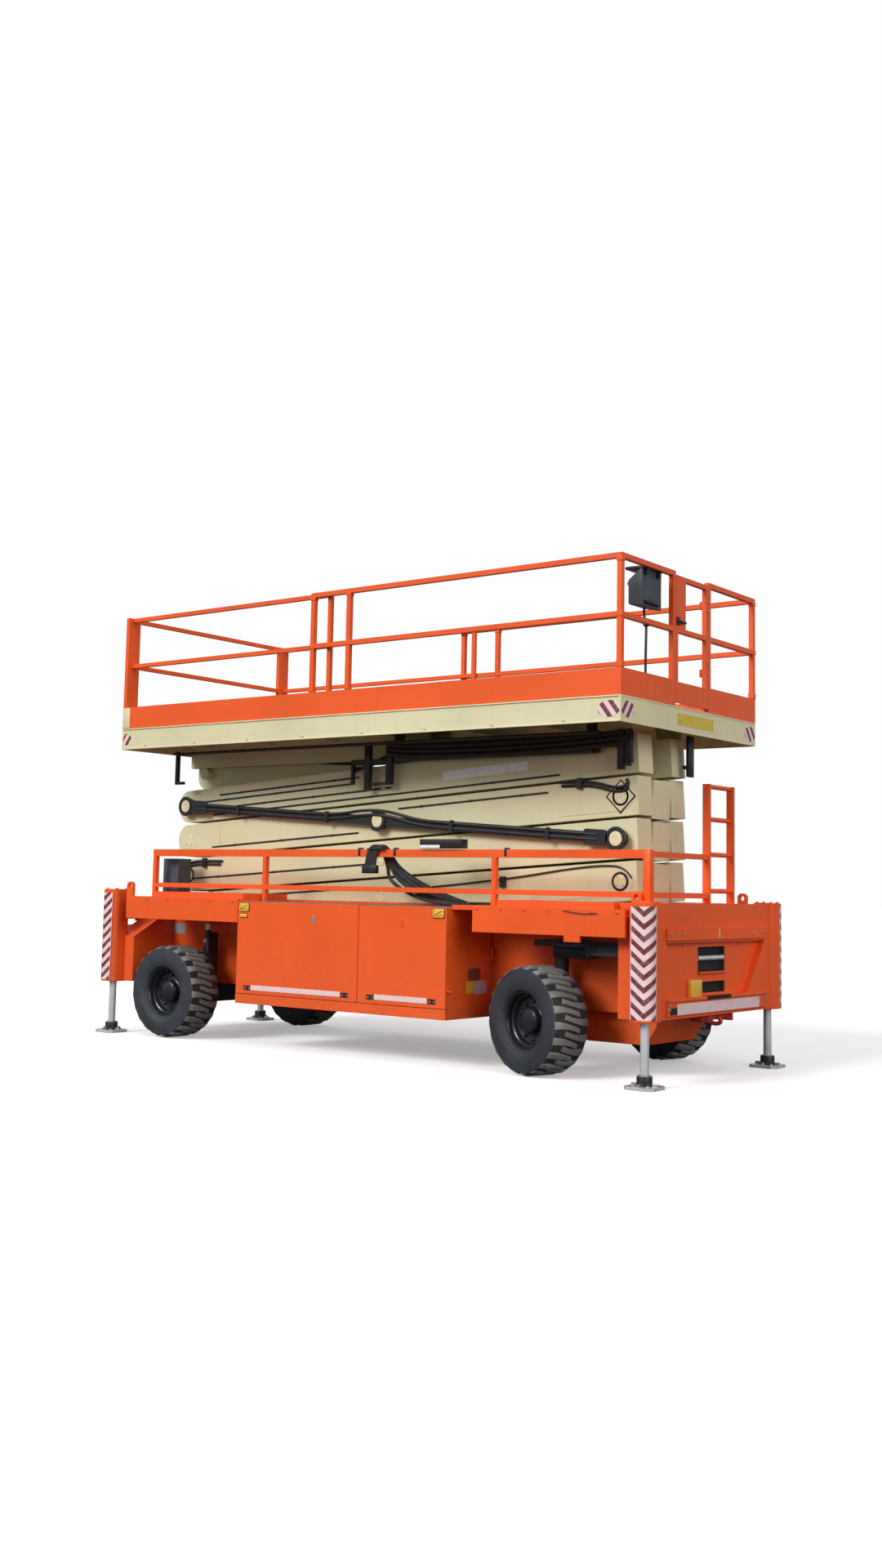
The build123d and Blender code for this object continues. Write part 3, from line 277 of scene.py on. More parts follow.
def moulded(name, tone, roughness):
    """Moulded plastic or hose cover with a fine pebble grain and a painted highlight along the edges."""
    finish = Finish(name)
    pebble = finish.noise(330.0, 2.0)
    cloud = finish.noise(5.0, 4.0)
    edge, rounded = finish.edge(0.004)
    base = finish.mix(cloud.between(0.35, 0.7), shade(tone, 0.8), shade(tone, 1.3))
    # Painted highlight: every edge made lighter.
    base = finish.mix(edge * 0.4, base, shade(tone, 2.4))
    return finish.surface(
        Base_Color=base, Roughness=roughness + cloud * 0.15,
        Normal=finish.bump(pebble, 0.12, 0.001, rounded),
    )


def ribbed(name, tone):
    """Corrugated cable cover: painted shade in the grooves, a painted highlight on the ribs, and cloudy dust."""
    finish = Finish(name)
    groove = abs((finish.axis("X") + finish.axis("Z")) % 0.016 - 0.008).between(0.001, 0.006)
    cloud = finish.noise(9.0, 4.0)
    # Painted shade in the grooves and painted highlight on the ribs, following the bump's relief.
    base = finish.mix(groove, shade(tone, 0.6), shade(tone, 2.6))
    base = finish.mix(cloud.between(0.5, 0.75) * 0.5, base, (0.09, 0.08, 0.07))
    return finish.surface(
        Base_Color=base, Roughness=0.5 + cloud * 0.2, Normal=finish.bump(groove, 0.6, 0.004)
    )


def lens(name, tone):
    """Ribbed lamp lens with a painted highlight on the ribs and painted shade between them."""
    finish = Finish(name)
    rib = abs(finish.axis("Z") % 0.012 - 0.006).between(0.001, 0.006)
    cloud = finish.noise(30.0, 3.0)
    # Painted highlight on the rib crests and painted shade in the troughs, following the bump's relief.
    base = finish.mix(rib, shade(tone, 0.78), shade(tone, 1.1))
    base = finish.mix(cloud.between(0.5, 0.75) * 0.3, base, shade(tone, 0.6))
    return finish.surface(
        Base_Color=base, Roughness=0.22 + cloud * 0.1, Normal=finish.bump(rib, 0.3, 0.002),
        Coat_Weight=0.6,
    )


def tape(name, tone):
    """Reflective tape: small cells, scuffed."""
    finish = Finish(name)
    cells = finish.node("ShaderNodeTexVoronoi", output="Distance", Vector=finish.place, Scale=210.0)
    scuff = finish.noise(14.0, 4.0)
    base = finish.mix(cells.between(0.1, 0.7), shade(tone, 1.06), shade(tone, 0.9))
    base = finish.mix(scuff.between(0.55, 0.75) * 0.5, base, shade(tone, 0.62))
    return finish.surface(Base_Color=base, Roughness=0.3 + scuff * 0.25, Coat_Weight=0.3)


def chevrons(name, pale, dark, pitch):
    """Downward chevrons across a tape's own UV map, whose V is in metres."""
    finish = Finish(name)
    side, up = finish.uv()
    stripe = (up - abs(side - 0.5) * 0.19) % pitch > pitch * 0.52
    border = abs(side - 0.5) > 0.475
    scuff = finish.noise(18.0, 4.0)
    base = finish.mix(stripe, pale, dark)
    base = finish.mix(border, base, pale)
    base = finish.mix(scuff.between(0.5, 0.75) * 0.35, base, shade(pale, 0.6))
    return finish.surface(Base_Color=base, Roughness=0.32 + scuff * 0.2, Coat_Weight=0.25)


def slanted(name, pale, dark, pitch):
    """Slanted stripes on a corner decal's own UV map, both in metres."""
    finish = Finish(name)
    side, up = finish.uv()
    stripe = (abs(side) + up * 0.75) % pitch > pitch * 0.5
    scuff = finish.noise(18.0, 4.0)
    base = finish.mix(stripe, pale, dark)
    base = finish.mix(scuff.between(0.5, 0.75) * 0.3, base, shade(pale, 0.6))
    return finish.surface(Base_Color=base, Roughness=0.34 + scuff * 0.2)


def chequer(name, tone):
    """Tread plate: raised slanted bars on paint worn along the middle."""
    finish = Finish(name)
    cell_x = finish.axis("X") % 0.05 - 0.025
    cell_y = finish.axis("Y") % 0.05 - 0.025
    bar = 1.0 - abs(cell_x + cell_y).between(0.004, 0.008)
    bar = bar * (1.0 - abs(cell_x - cell_y).between(0.022, 0.030))
    wear = finish.noise(1.6, 5.0)
    base = finish.mix(wear.between(0.35, 0.7), shade(tone, 0.8), shade(tone, 1.1))
    base = finish.mix(bar * wear.between(0.4, 0.6) * 0.6, base, (0.42, 0.40, 0.37))
    return finish.surface(
        Base_Color=base, Roughness=0.45 + wear * 0.2, Normal=finish.bump(bar, 0.5, 0.004)
    )


MATERIALS = {}


def finish_named(name):
    """The finish of that name, made when first asked for."""
    if name not in MATERIALS:
        c = colours()
        makers = {
            "orange_enamel": lambda: enamel(name, c.orange, 0.34, 0.30, 1.15, 0.12),
            "cream_enamel": lambda: enamel(name, c.cream, 0.42, 0.20, 1.10, 0.08),
            "tray_enamel": lambda: enamel(name, c.cream, 0.42, 0.20, 1.10, 0.08,
                                          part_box("platform_deck")[1].z),
            "black_enamel": lambda: enamel(name, c.black, 0.36, 0.06, 4.0, 0.2),
            "rim_gloss": lambda: enamel(name, c.rim, 0.24, 0.02, 3.0, 0.5),
            "sidewall_rubber": lambda: rubber(name, c.sidewall, c.tread, 0.06),
            "tread_rubber": lambda: rubber(name, shade(c.tread, 0.55), c.tread, 0.95),
            "rod_chrome": lambda: plated(name, c.chrome, 0.12),
            "pale_steel": lambda: enamel(name, shade(c.cream, 1.1), 0.35, 0.25, 0.7, 0.1),
            "pin_steel": lambda: plated(name, c.steel, 0.30),
            "console_plastic": lambda: moulded(name, c.console, 0.42),
            "hose_rubber": lambda: moulded(name, c.hose, 0.42),
            "ribbed_hose": lambda: ribbed(name, c.hose),
            # Near-black finish of the dark tape, also used as painted shade inside the end beams' slots.
            "black_tape_and_slot_shade": lambda: moulded(name, (0.006, 0.006, 0.007), 0.6),
            "hook_red": lambda: enamel(name, (0.55, 0.045, 0.03), 0.4, 0.4, 1.2, 0.1),
            "cast_iron": lambda: enamel(name, (0.06, 0.06, 0.062), 0.55, 0.5, 1.6, 0.0),
            "amber_lens": lambda: lens(name, c.amber),
            "yellow_plate": lambda: tape(name, c.plate),
            "pale_tape": lambda: tape(name, c.reflect),
            "grey_plate": lambda: tape(name, (0.42, 0.40, 0.43)),
            "white_plate": lambda: tape(name, (1.0, 0.97, 0.96)),
            "lilac_plate": lambda: tape(name, (0.56, 0.50, 0.60)),
            "brown_plate": lambda: tape(name, (0.13, 0.05, 0.035)),
            "chevron_tape": lambda: chevrons(name, c.reflect, c.maroon, sizes().chevron_pitch),
            "corner_tape": lambda: slanted(name, c.reflect, c.maroon, 0.098),
            "tread_plate": lambda: chequer(name, (0.20, 0.19, 0.18)),
        }
        MATERIALS[name] = makers[name]()
    return MATERIALS[name]


def start(name, adder, **options):
    """Adds a primitive on its own selection and names it."""
    if bpy.context.object and bpy.context.object.mode != "OBJECT":
        bpy.ops.object.mode_set(mode="OBJECT")
    bpy.ops.object.select_all(action="DESELECT")
    adder(**options)
    piece = bpy.context.object
    piece.name = name
    return piece


def settle(piece):
    """Puts a piece's place, turn and size into its mesh."""
    pick(piece)
    bpy.ops.object.transform_apply(location=True, rotation=True, scale=True)
    return piece


def pick(*pieces):
    """Selects only these pieces, the first one active."""
    bpy.ops.object.select_all(action="DESELECT")
    for piece in pieces:
        piece.select_set(True)
    bpy.context.view_layer.objects.active = pieces[0]


def pick_faces(piece, wanted):
    """Opens a piece in edit mode with the faces picked for which wanted says so."""
    pick(piece)
    bpy.ops.object.mode_set(mode="EDIT")
    bpy.ops.mesh.select_mode(type="FACE")
    bpy.ops.mesh.select_all(action="DESELECT")
    bpy.ops.object.mode_set(mode="OBJECT")
    for face in piece.data.polygons:
        face.select = bool(wanted(face))
    bpy.ops.object.mode_set(mode="EDIT")


def pick_edges(piece, wanted):
    """Opens a piece in edit mode with the edges picked for both of whose ends wanted says so."""
    pick(piece)
    bpy.ops.object.mode_set(mode="EDIT")
    bpy.ops.mesh.select_mode(type="EDGE")
    bpy.ops.mesh.select_all(action="DESELECT")
    bpy.ops.object.mode_set(mode="OBJECT")
    for edge in piece.data.edges:
        edge.select = all(wanted(piece.data.vertices[end].co) for end in edge.vertices)
    bpy.ops.object.mode_set(mode="EDIT")


def extrude_sheet(thick):
    """Gives the flat piece that is open in edit mode its thickness along Z, and leaves edit mode."""
    bpy.ops.mesh.select_all(action="SELECT")
    bpy.ops.mesh.extrude_region_move(TRANSFORM_OT_translate={"value": (0, 0, thick)})
    bpy.ops.mesh.select_all(action="SELECT")
    bpy.ops.mesh.normals_make_consistent(inside=False)
    close_edit()


def close_edit():
    """Leaves edit mode."""
    bpy.ops.object.mode_set(mode="OBJECT")


def soften(piece, width, segments=2, limit=35):
    """Rounds a piece's edges with a bevel that is applied."""
    pick(piece)
    bevel = piece.modifiers.new("soft_edges", "BEVEL")
    bevel.width = width
    bevel.segments = segments
    bevel.limit_method = "ANGLE"
    bevel.angle_limit = math.radians(limit)
    bpy.ops.object.modifier_apply(modifier=bevel.name)
    bpy.ops.object.shade_smooth_by_angle(angle=SMOOTH_BELOW)
    return piece


def dress(piece, body, finish):
    """Gives a piece its finish where one is named, and its body."""
    if finish:
        piece.data.materials.clear()
        piece.data.materials.append(finish_named(finish))
    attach(piece, body)
    return piece


def fit(name, body, finish, *pieces, slot=None):
    """Joins pieces into one of that name and dresses it."""
    return dress(joined(name, pieces), body, finish)


def block(name, low, high, width=0.004, segments=2):
    """Block between two corners with rounded edges."""
    low, high = Vector(low), Vector(high)
    piece = start(name, bpy.ops.mesh.primitive_cube_add, size=1, location=(low + high) / 2)
    piece.scale = high - low
    settle(piece)
    return soften(piece, width, segments)


def panel(name, low, high, facing, rim, sink, width=0.003):
    """Block whose face towards an axis has a sunk or raised field inside a rim."""
    low, high, facing = Vector(low), Vector(high), Vector(facing)
    piece = start(name, bpy.ops.mesh.primitive_cube_add, size=1, location=(low + high) / 2)
    piece.scale = high - low
    settle(piece)
    pick_faces(piece, lambda face: face.normal.dot(facing) > 0.9)
    bpy.ops.mesh.inset(thickness=rim, depth=0)
    bpy.ops.transform.translate(value=facing * sink)
    close_edit()
    return soften(piece, width)


def joined(name, pieces):
    """Joins pieces into one mesh."""
    pick(*pieces)
    if len(pieces) > 1:
        bpy.ops.object.join()
    whole = bpy.context.object
    whole.name = name
    return whole


def copies(piece, places):
    """Copies of a piece, each with its own mesh, moved by a matrix."""
    made = []
    for place in places:
        copy = bpy.data.objects.new(piece.name, piece.data.copy())
        bpy.context.scene.collection.objects.link(copy)
        copy.data.transform(place)
        if place.determinant() < 0:
            copy.data.flip_normals()
        made.append(copy)
    bpy.data.objects.remove(piece)
    return made


def turned(name, outline, steps):
    """Turns an outline of (radius, along) points about Z."""
    mesh = bpy.data.meshes.new(name)
    mesh.from_pydata([(r, 0, z) for r, z in outline], [(i, i + 1) for i in range(len(outline) - 1)], [])
    piece = bpy.data.objects.new(name, mesh)
    bpy.context.scene.collection.objects.link(piece)
    pick(piece)
    bpy.ops.object.mode_set(mode="EDIT")
    bpy.ops.mesh.select_all(action="SELECT")
    bpy.ops.mesh.spin(steps=steps, angle=ALL_ROUND, center=(0, 0, 0), axis=(0, 0, 1))
    bpy.ops.mesh.select_all(action="SELECT")
    bpy.ops.mesh.remove_doubles(threshold=0.0002)
    bpy.ops.mesh.normals_make_consistent(inside=False)
    bpy.ops.object.mode_set(mode="OBJECT")
    bpy.ops.object.shade_smooth_by_angle(angle=math.radians(32))
    return piece


def facing_frame(centre, outward, up=(0, 0, 1)):
    """Matrix that sets a piece's Z outwards and its X up at a centre."""
    z = Vector(outward).normalized()
    x = Vector(up) - z * Vector(up).dot(z)
    x.normalize()
    turn = Matrix((x, z.cross(x), z)).transposed().to_4x4()
    return Matrix.Translation(centre) @ turn


def bolt_heads(name, places, radius, height):
    """Hexagon heads with a raised crown, one for each matrix."""
    head = start(name, bpy.ops.mesh.primitive_cylinder_add, vertices=6, radius=radius, depth=height,
                 location=(0, 0, height / 2))
    settle(head)
    pick_faces(head, lambda face: face.normal.z > 0.9)
    bpy.ops.mesh.inset(thickness=radius * 0.22, depth=0)
    bpy.ops.transform.translate(value=(0, 0, height * 0.25))
    close_edit()
    return joined(name, copies(head, places))


def hose_run(name, points, radius, sides=10):
    """Hose along a smooth line led by control points, made a mesh."""
    curve = bpy.data.curves.new(name, "CURVE")
    curve.dimensions = "3D"
    line = curve.splines.new("NURBS")
    line.points.add(len(points) - 1)
    for knot, point in zip(line.points, points):
        knot.co = (*point, 1)
    line.order_u = 3
    line.use_endpoint_u = True
    curve.resolution_u = 6
    curve.bevel_depth = radius
    curve.bevel_resolution = max(1, sides // 4)
    curve.use_fill_caps = True
    piece = bpy.data.objects.new(name, curve)
    bpy.context.scene.collection.objects.link(piece)
    pick(piece)
    bpy.ops.object.convert(target="MESH")
    piece = bpy.context.object
    piece.name = name
    bpy.ops.object.shade_smooth_by_angle(angle=math.radians(40))
    return piece


def pin(joint):
    """Place of a joint in metres."""
    return Vector(JOINTS[joint]["pos_m"])


RIGHT_PINS = [pin("fold"), *(pin(f"inner_fold_{s}") for s in (2, 3, 4)), pin("platform_level")]
CENTRES = [pin(f"outer_fold_{s}") for s in STAGES]
LEFT_PINS = [2 * c - r for c, r in zip(CENTRES, RIGHT_PINS[1:])]
ARM_FACE = 0.405  # half width over the outer arms
CARRIER_FACE = -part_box("hose_carrier")[0].y
CARRIER_PIN = CARRIER_FACE + 0.007  # where the carrier's pins end


class LIFT_OT_finishes(bpy.types.Operator):
    """Gives every solid of the frame its finish"""

    bl_idname = "lift.finishes"
    bl_label = "Finishes"

    def execute(self, context):
        by_slot = {
            "orange_paint": "orange_enamel",
            "cream_paint": "cream_enamel",
            "black_paint": "black_enamel",
            "chrome": "rod_chrome",
            "tyre_rubber": "sidewall_rubber",
            "rim_paint": "rim_gloss",
            "control_plastic": "console_plastic",
            "engine_iron": "cast_iron",
        }
        for row in frame["record"]["subparts"]:
            node = frame["nodes"][row["node"]]
            node.data.materials.clear()
            finish = "tray_enamel" if row["node"] == "platform_deck" else by_slot[row["material_slot"]]
            node.data.materials.append(finish_named(finish))
        return {"FINISHED"}


class LIFT_OT_wheels(bpy.types.Operator):
    """Turned tyres with slanted tread bars, and dished rims with nuts and a hub cap"""

    bl_idname = "lift.wheels"
    bl_label = "Wheels"

    tip = 0.4485
    root = 0.428
    bead = 0.2372
    half = 0.185
    bars, bar_start, bar_run = 42, -0.075, 0.251

    def carcass(self):
        """Smooth carcass with flat walls, square shoulders and a stepped bead."""
        wall = self.half
        side = (
            (self.bead, wall - 0.036), (0.246, wall - 0.022), (0.258, wall - 0.012), (0.270, wall - 0.011),
            (0.284, wall - 0.003), (0.320, wall), (0.372, wall - 0.001), (0.404, wall - 0.005),
            (0.407, wall - 0.003), (0.420, wall - 0.006), (self.root, wall - 0.016),
        )
        outline = [(r, -z) for r, z in side] + [(r, z) for r, z in reversed(side)]
        return turned("carcass", [*outline, outline[0]], 96)

    def bar(self):
        """One tread bar from just past the middle to the shoulder, bent over its edge."""
        piece = start("bar", bpy.ops.mesh.primitive_cube_add, size=1)
        pick_faces(piece, lambda face: True)
        bpy.ops.mesh.subdivide(number_cuts=4)
        close_edit()
        foot = self.root - 0.008
        for vertex in piece.data.vertices:
            along, high = vertex.co.z + 0.5, vertex.co.x + 0.5
            thick = 0.050 - 0.010 * high + 0.036 * max(0.0, along - 0.4)
            drop = max(0.0, along - 0.8) / 0.2
            radius = foot + (self.tip - foot) * high - 0.020 * drop ** 2 * high
            swing = vertex.co.y * thick + 0.050 * (along - 0.5) + 0.014 * math.sin(along * math.pi)
            turn = swing / radius
            across = self.bar_start + self.bar_run * along
            vertex.co = (radius * math.cos(turn), radius * math.sin(turn), across)
        return soften(piece, 0.005, 1, 50)

    def rim(self):
        """Barrel with rolled lips, dished disc, nut circle, valve and domed cap."""
        lip, barrel = 0.2365, 0.2225
        outline = (
            (0.0505, 0.0605), (0.0505, -0.060), (barrel, -0.060), (barrel, -0.146), (lip - 0.004, -0.150),
            (lip, -0.146), (lip, 0.143), (lip - 0.003, 0.1495), (lip - 0.008, 0.1495), (barrel, 0.141),
            (barrel - 0.006, 0.123), (barrel - 0.006, 0.099), (barrel - 0.020, 0.091),
            (barrel - 0.026, 0.065), (0.186, 0.051), (0.150, 0.045), (0.122, 0.045), (0.112, 0.051),
            (0.108, 0.069), (0.104, 0.093), (0.096, 0.103), (0.088, 0.107), (0.060, 0.1125), (0.030, 0.1145),
            (0.0, 0.115),
        )
        disc = turned("rim", outline, 64)
        nut_places = []
        for step in range(10):
            turn = Matrix.Rotation(step * ALL_ROUND / 10, 4, "Z")
            nut_places.append(turn @ Matrix.Translation((0.158, 0, 0.0455)))
        nuts = bolt_heads("nuts", nut_places, sizes().wheel_nut, 0.016)
        valve = start("valve", bpy.ops.mesh.primitive_cylinder_add, vertices=10, radius=0.006, depth=0.04,
                      location=(0.205, 0, 0.105), rotation=(0, math.radians(-20), 0))
        soften(settle(valve), 0.0015, 1)
        for piece, finish in ((disc, "rim_gloss"), (nuts, "rim_gloss"), (valve, "hose_rubber")):
            piece.data.materials.append(finish_named(finish))
        return joined("rim", [disc, nuts, valve])

    def execute(self, context):
        bar_places = []
        for step in range(self.bars):
            turn = Matrix.Rotation(step * ALL_ROUND / self.bars, 4, "Z")
            bar_places.append(turn if step % 2 else turn @ Matrix.Rotation(math.pi, 4, "X"))
        carcass, bar = self.carcass(), self.bar()
        carcass.data.materials.append(finish_named("sidewall_rubber"))
        bar.data.materials.append(finish_named("tread_rubber"))
        tyre = joined("tyre", [carcass, *copies(bar, bar_places)])
        places, names = [], []
        for end in ENDS:
            for side, sign in SIDES.items():
                joint = JOINTS[f"roll_{end}_{side}"]
                places.append(facing_frame(joint["pos_m"], Vector(joint["axis"]) * sign))
                names.append(f"{end}_{side}")
        for kind, slot, source in (("tyre", "tyre_rubber", tyre), ("rim", "rim_paint", self.rim())):
            for piece, name in zip(copies(source, places), names):
                piece.name = f"{kind}_{name}_dressed"
                dress(piece, f"wheel_{name}", None)
                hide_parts(f"{kind}_{name}")
        return {"FINISHED"}


def plate_on(name, centre, outward, wide, tall, thick, up=(0, 0, 1), corner=0.008):
    """Thin plate lying on a face: wide across, tall along up, with rounded corners."""
    piece = start(name, bpy.ops.mesh.primitive_plane_add, size=1)
    piece.scale = (tall, wide, 1)
    settle(piece)
    pick_faces(piece, lambda face: True)
    bpy.ops.mesh.bevel(offset=corner, segments=3, affect="VERTICES")
    extrude_sheet(thick)
    piece.data.transform(facing_frame(centre, outward, up))
    return piece


def flat_uv(piece, right, up, centre):
    """Lays a UV map in metres over a flat piece."""
    layer = piece.data.uv_layers.active
    for loop in piece.data.loops:
        offset = piece.data.vertices[loop.vertex_index].co - Vector(centre)
        layer.data[loop.index].uv = (offset.dot(Vector(right)), offset.dot(Vector(up)))


def washer(name, inner, outer, thick, edge, steps):
    """Flat ring with its outer edge cut back."""
    outline = ((inner, 0.0), (inner, thick), (outer - edge, thick), (outer, thick - edge), (outer, 0.0),
               (inner, 0.0))
    return turned(name, outline, steps)


def at_depth(spot, y):
    """A place in the side view at a depth."""
    return Vector((spot.x, y, spot.z))


class LIFT_OT_arms(bpy.types.Operator):
    """Pin caps, cheek plates, cable guides and blank plates on the scissor arms"""

    bl_idname = "lift.arms"
    bl_label = "Arm trim"

    carried = {2: RIGHT_PINS[2], 3: CENTRES[2], 4: LEFT_PINS[3]}  # near pins that the hose carrier lies on
    ringed = (RIGHT_PINS[1], RIGHT_PINS[3], LEFT_PINS[1])
    bolt_circle, bolt_turns = 0.047, (0.6, 2.2, 3.8, 5.4)
    cheek_half, cheek_thick, cheek_right, cheek_left = 0.125, 0.0028, 0.62, 0.45
    # stage: (height above the arm's middle line, first, last along it from the centre pin)
    runs = {
        1: ((0.10, -2.5, -0.4),),
        2: ((-0.04, -2.6, -0.2),),
        3: ((-0.09, -2.3, -0.3), (0.10, 0.2, 1.9)),
        4: ((-0.115, -2.3, 2.0), (-0.05, -1.9, 0.1), (0.03, -2.45, -0.35), (0.085, -2.2, -0.30)),
    }

    def cap(self, radius):
        """Stepped cap with a sunk middle."""
        steps = ((0.0, 0.6), (0.30, 0.6), (0.34, 1.0), (0.62, 1.0), (0.66, 0.75), (0.92, 0.75), (1.0, 0.3),
                 (1.0, 0.0))
        return turned("cap", [(radius * r, sizes().cap_proud * z) for r, z in steps], 32)

    def cheek(self, reach):
        """Round-ended doubler plate: its pin at the origin, running along -Y."""
        half = self.cheek_half
        piece = start("cheek", bpy.ops.mesh.primitive_plane_add, size=1)
        piece.scale = (2 * half, reach, 1)
        piece.location.y = -reach / 2
        settle(piece)
        pick_edges(piece, lambda end: abs(end.y) < 1e-6)
        bpy.ops.mesh.subdivide(number_cuts=11)
        extrude_sheet(self.cheek_thick)
        for vertex in piece.data.vertices:
            if vertex.co.y > -1e-6:
                vertex.co.y = math.sqrt(max(0.0, half**2 - vertex.co.x**2))
        return soften(piece, 0.002, 1, 50)

    def caps(self, stage, side, sign):
        """Caps, dark rings and bolts on the pins of one outer arm."""
        arm, out, radius = f"outer_arm_{stage}", (0, sign, 0), sizes().pin_cap
        spots = [CENTRES[stage - 1], RIGHT_PINS[stage], LEFT_PINS[stage - 1]]
        if stage == STAGES[0]:
            spots.pop()
        if stage == STAGES[-1]:
            spots.pop(1)
        beam_pin = self.carried.get(stage) if side == "near" else None
        caps, bolts, rings = [], [], []
        for spot in spots:
            on_beam = beam_pin is not None and (spot - beam_pin).length < 0.01
            seat = at_depth(spot, sign * (CARRIER_PIN if on_beam else ARM_FACE))
            caps += copies(self.cap(radius), [facing_frame(seat, out)])
            if spot in self.ringed:
                ring = washer("washer", radius * 0.96, radius * 1.3, 0.007, 0.003, 32)
                rings += copies(ring, [facing_frame(seat, out)])
            if not on_beam:
                for turn in self.bolt_turns:
                    shift = Vector((math.cos(turn), 0, math.sin(turn))) * self.bolt_circle
                    bolts.append(facing_frame(seat + shift, out))
        fit(f"pin_caps_{stage}_{side}", arm, "pale_steel", *caps)
        if rings:
            fit(f"pin_rings_{stage}_{side}", arm, "black_enamel", *rings)
        if bolts:
            heads = bolt_heads(f"cap_bolts_{stage}_{side}", bolts, 0.008, sizes().cap_proud * 0.8)
            dress(heads, arm, "pin_steel")

    def cheeks(self, stage, side, sign, slope):
        """Doubler plates at both ends of one outer arm."""
        pads, out = [], Vector((0, sign, 0))
        ends = ((RIGHT_PINS[stage], slope, self.cheek_right),
                (LEFT_PINS[stage - 1], -slope, self.cheek_left))
        for spot, heading, reach in ends:
            turn = facing_frame(at_depth(spot, sign * ARM_FACE), out, heading.cross(out))
            if (turn.to_3x3() @ Vector((0, 1, 0))).dot(heading) < 0:
                turn = turn @ Matrix.Rotation(math.pi, 4, "Z")
            pads += copies(self.cheek(reach), [turn])
        fit(f"cheeks_{stage}_{side}", f"outer_arm_{stage}", "cream_enamel", *pads)

    def guides(self, stage, side, sign, slope):
        """Flat cable guides along an arm's face, with clips."""
        out, up = (0, sign, 0), Vector((-slope.z, 0, slope.x))
        strips = []
        for rise, first, last in self.runs[stage]:
            line = CENTRES[stage - 1] + up * rise
            reach = last - first
            seat = at_depth(line + slope * (first + last) / 2, sign * ARM_FACE)
            strips.append(plate_on("guide", seat, out, reach, 0.017, 0.0055, up, 0.004))
            for step in range(3):
                seat = at_depth(line + slope * (first + reach * (step + 0.5) / 3), sign * ARM_FACE)
                strips.append(plate_on("clip", seat, out, 0.026, 0.023, 0.0068, up, 0.005))
        fit(f"guides_{stage}_{side}", f"outer_arm_{stage}", "hose_rubber", *strips)

    def plates(self):
        """Diamond plate at the third stage's right pin and the long blank plate on the top arm."""
        place = facing_frame(at_depth(RIGHT_PINS[3], -ARM_FACE), (0, -1, 0), (1, 0, 1))
        for name, half, thick, finish in (("diamond_back", 0.105, 0.004, "black_enamel"),
                                          ("diamond_plate", 0.092, 0.006, "cream_enamel")):
            diamond = panel("diamond", (-half, -half, 0), (half, half, thick), (0, 0, 1), 0.012, 0.001,
                            0.001)
            fit(name, "outer_arm_3", finish, *copies(diamond, [place]))
        middle = CENTRES[3] + (RIGHT_PINS[4] - CENTRES[3]) * 0.455
        plate = plate_on("arm_plate", at_depth(middle, -ARM_FACE), (0, -1, 0), 0.95, 0.085, 0.002,
                         (-0.068, 0, 0.998))
        dress(plate, "outer_arm_4", "white_plate")

    def execute(self, context):
        for stage in STAGES:
            slope = (RIGHT_PINS[stage] - CENTRES[stage - 1]).normalized()
            for side, sign in SIDES.items():
                self.caps(stage, side, sign)
                self.cheeks(stage, side, sign, slope)
                self.guides(stage, side, sign, slope)
        self.plates()
        return {"FINISHED"}


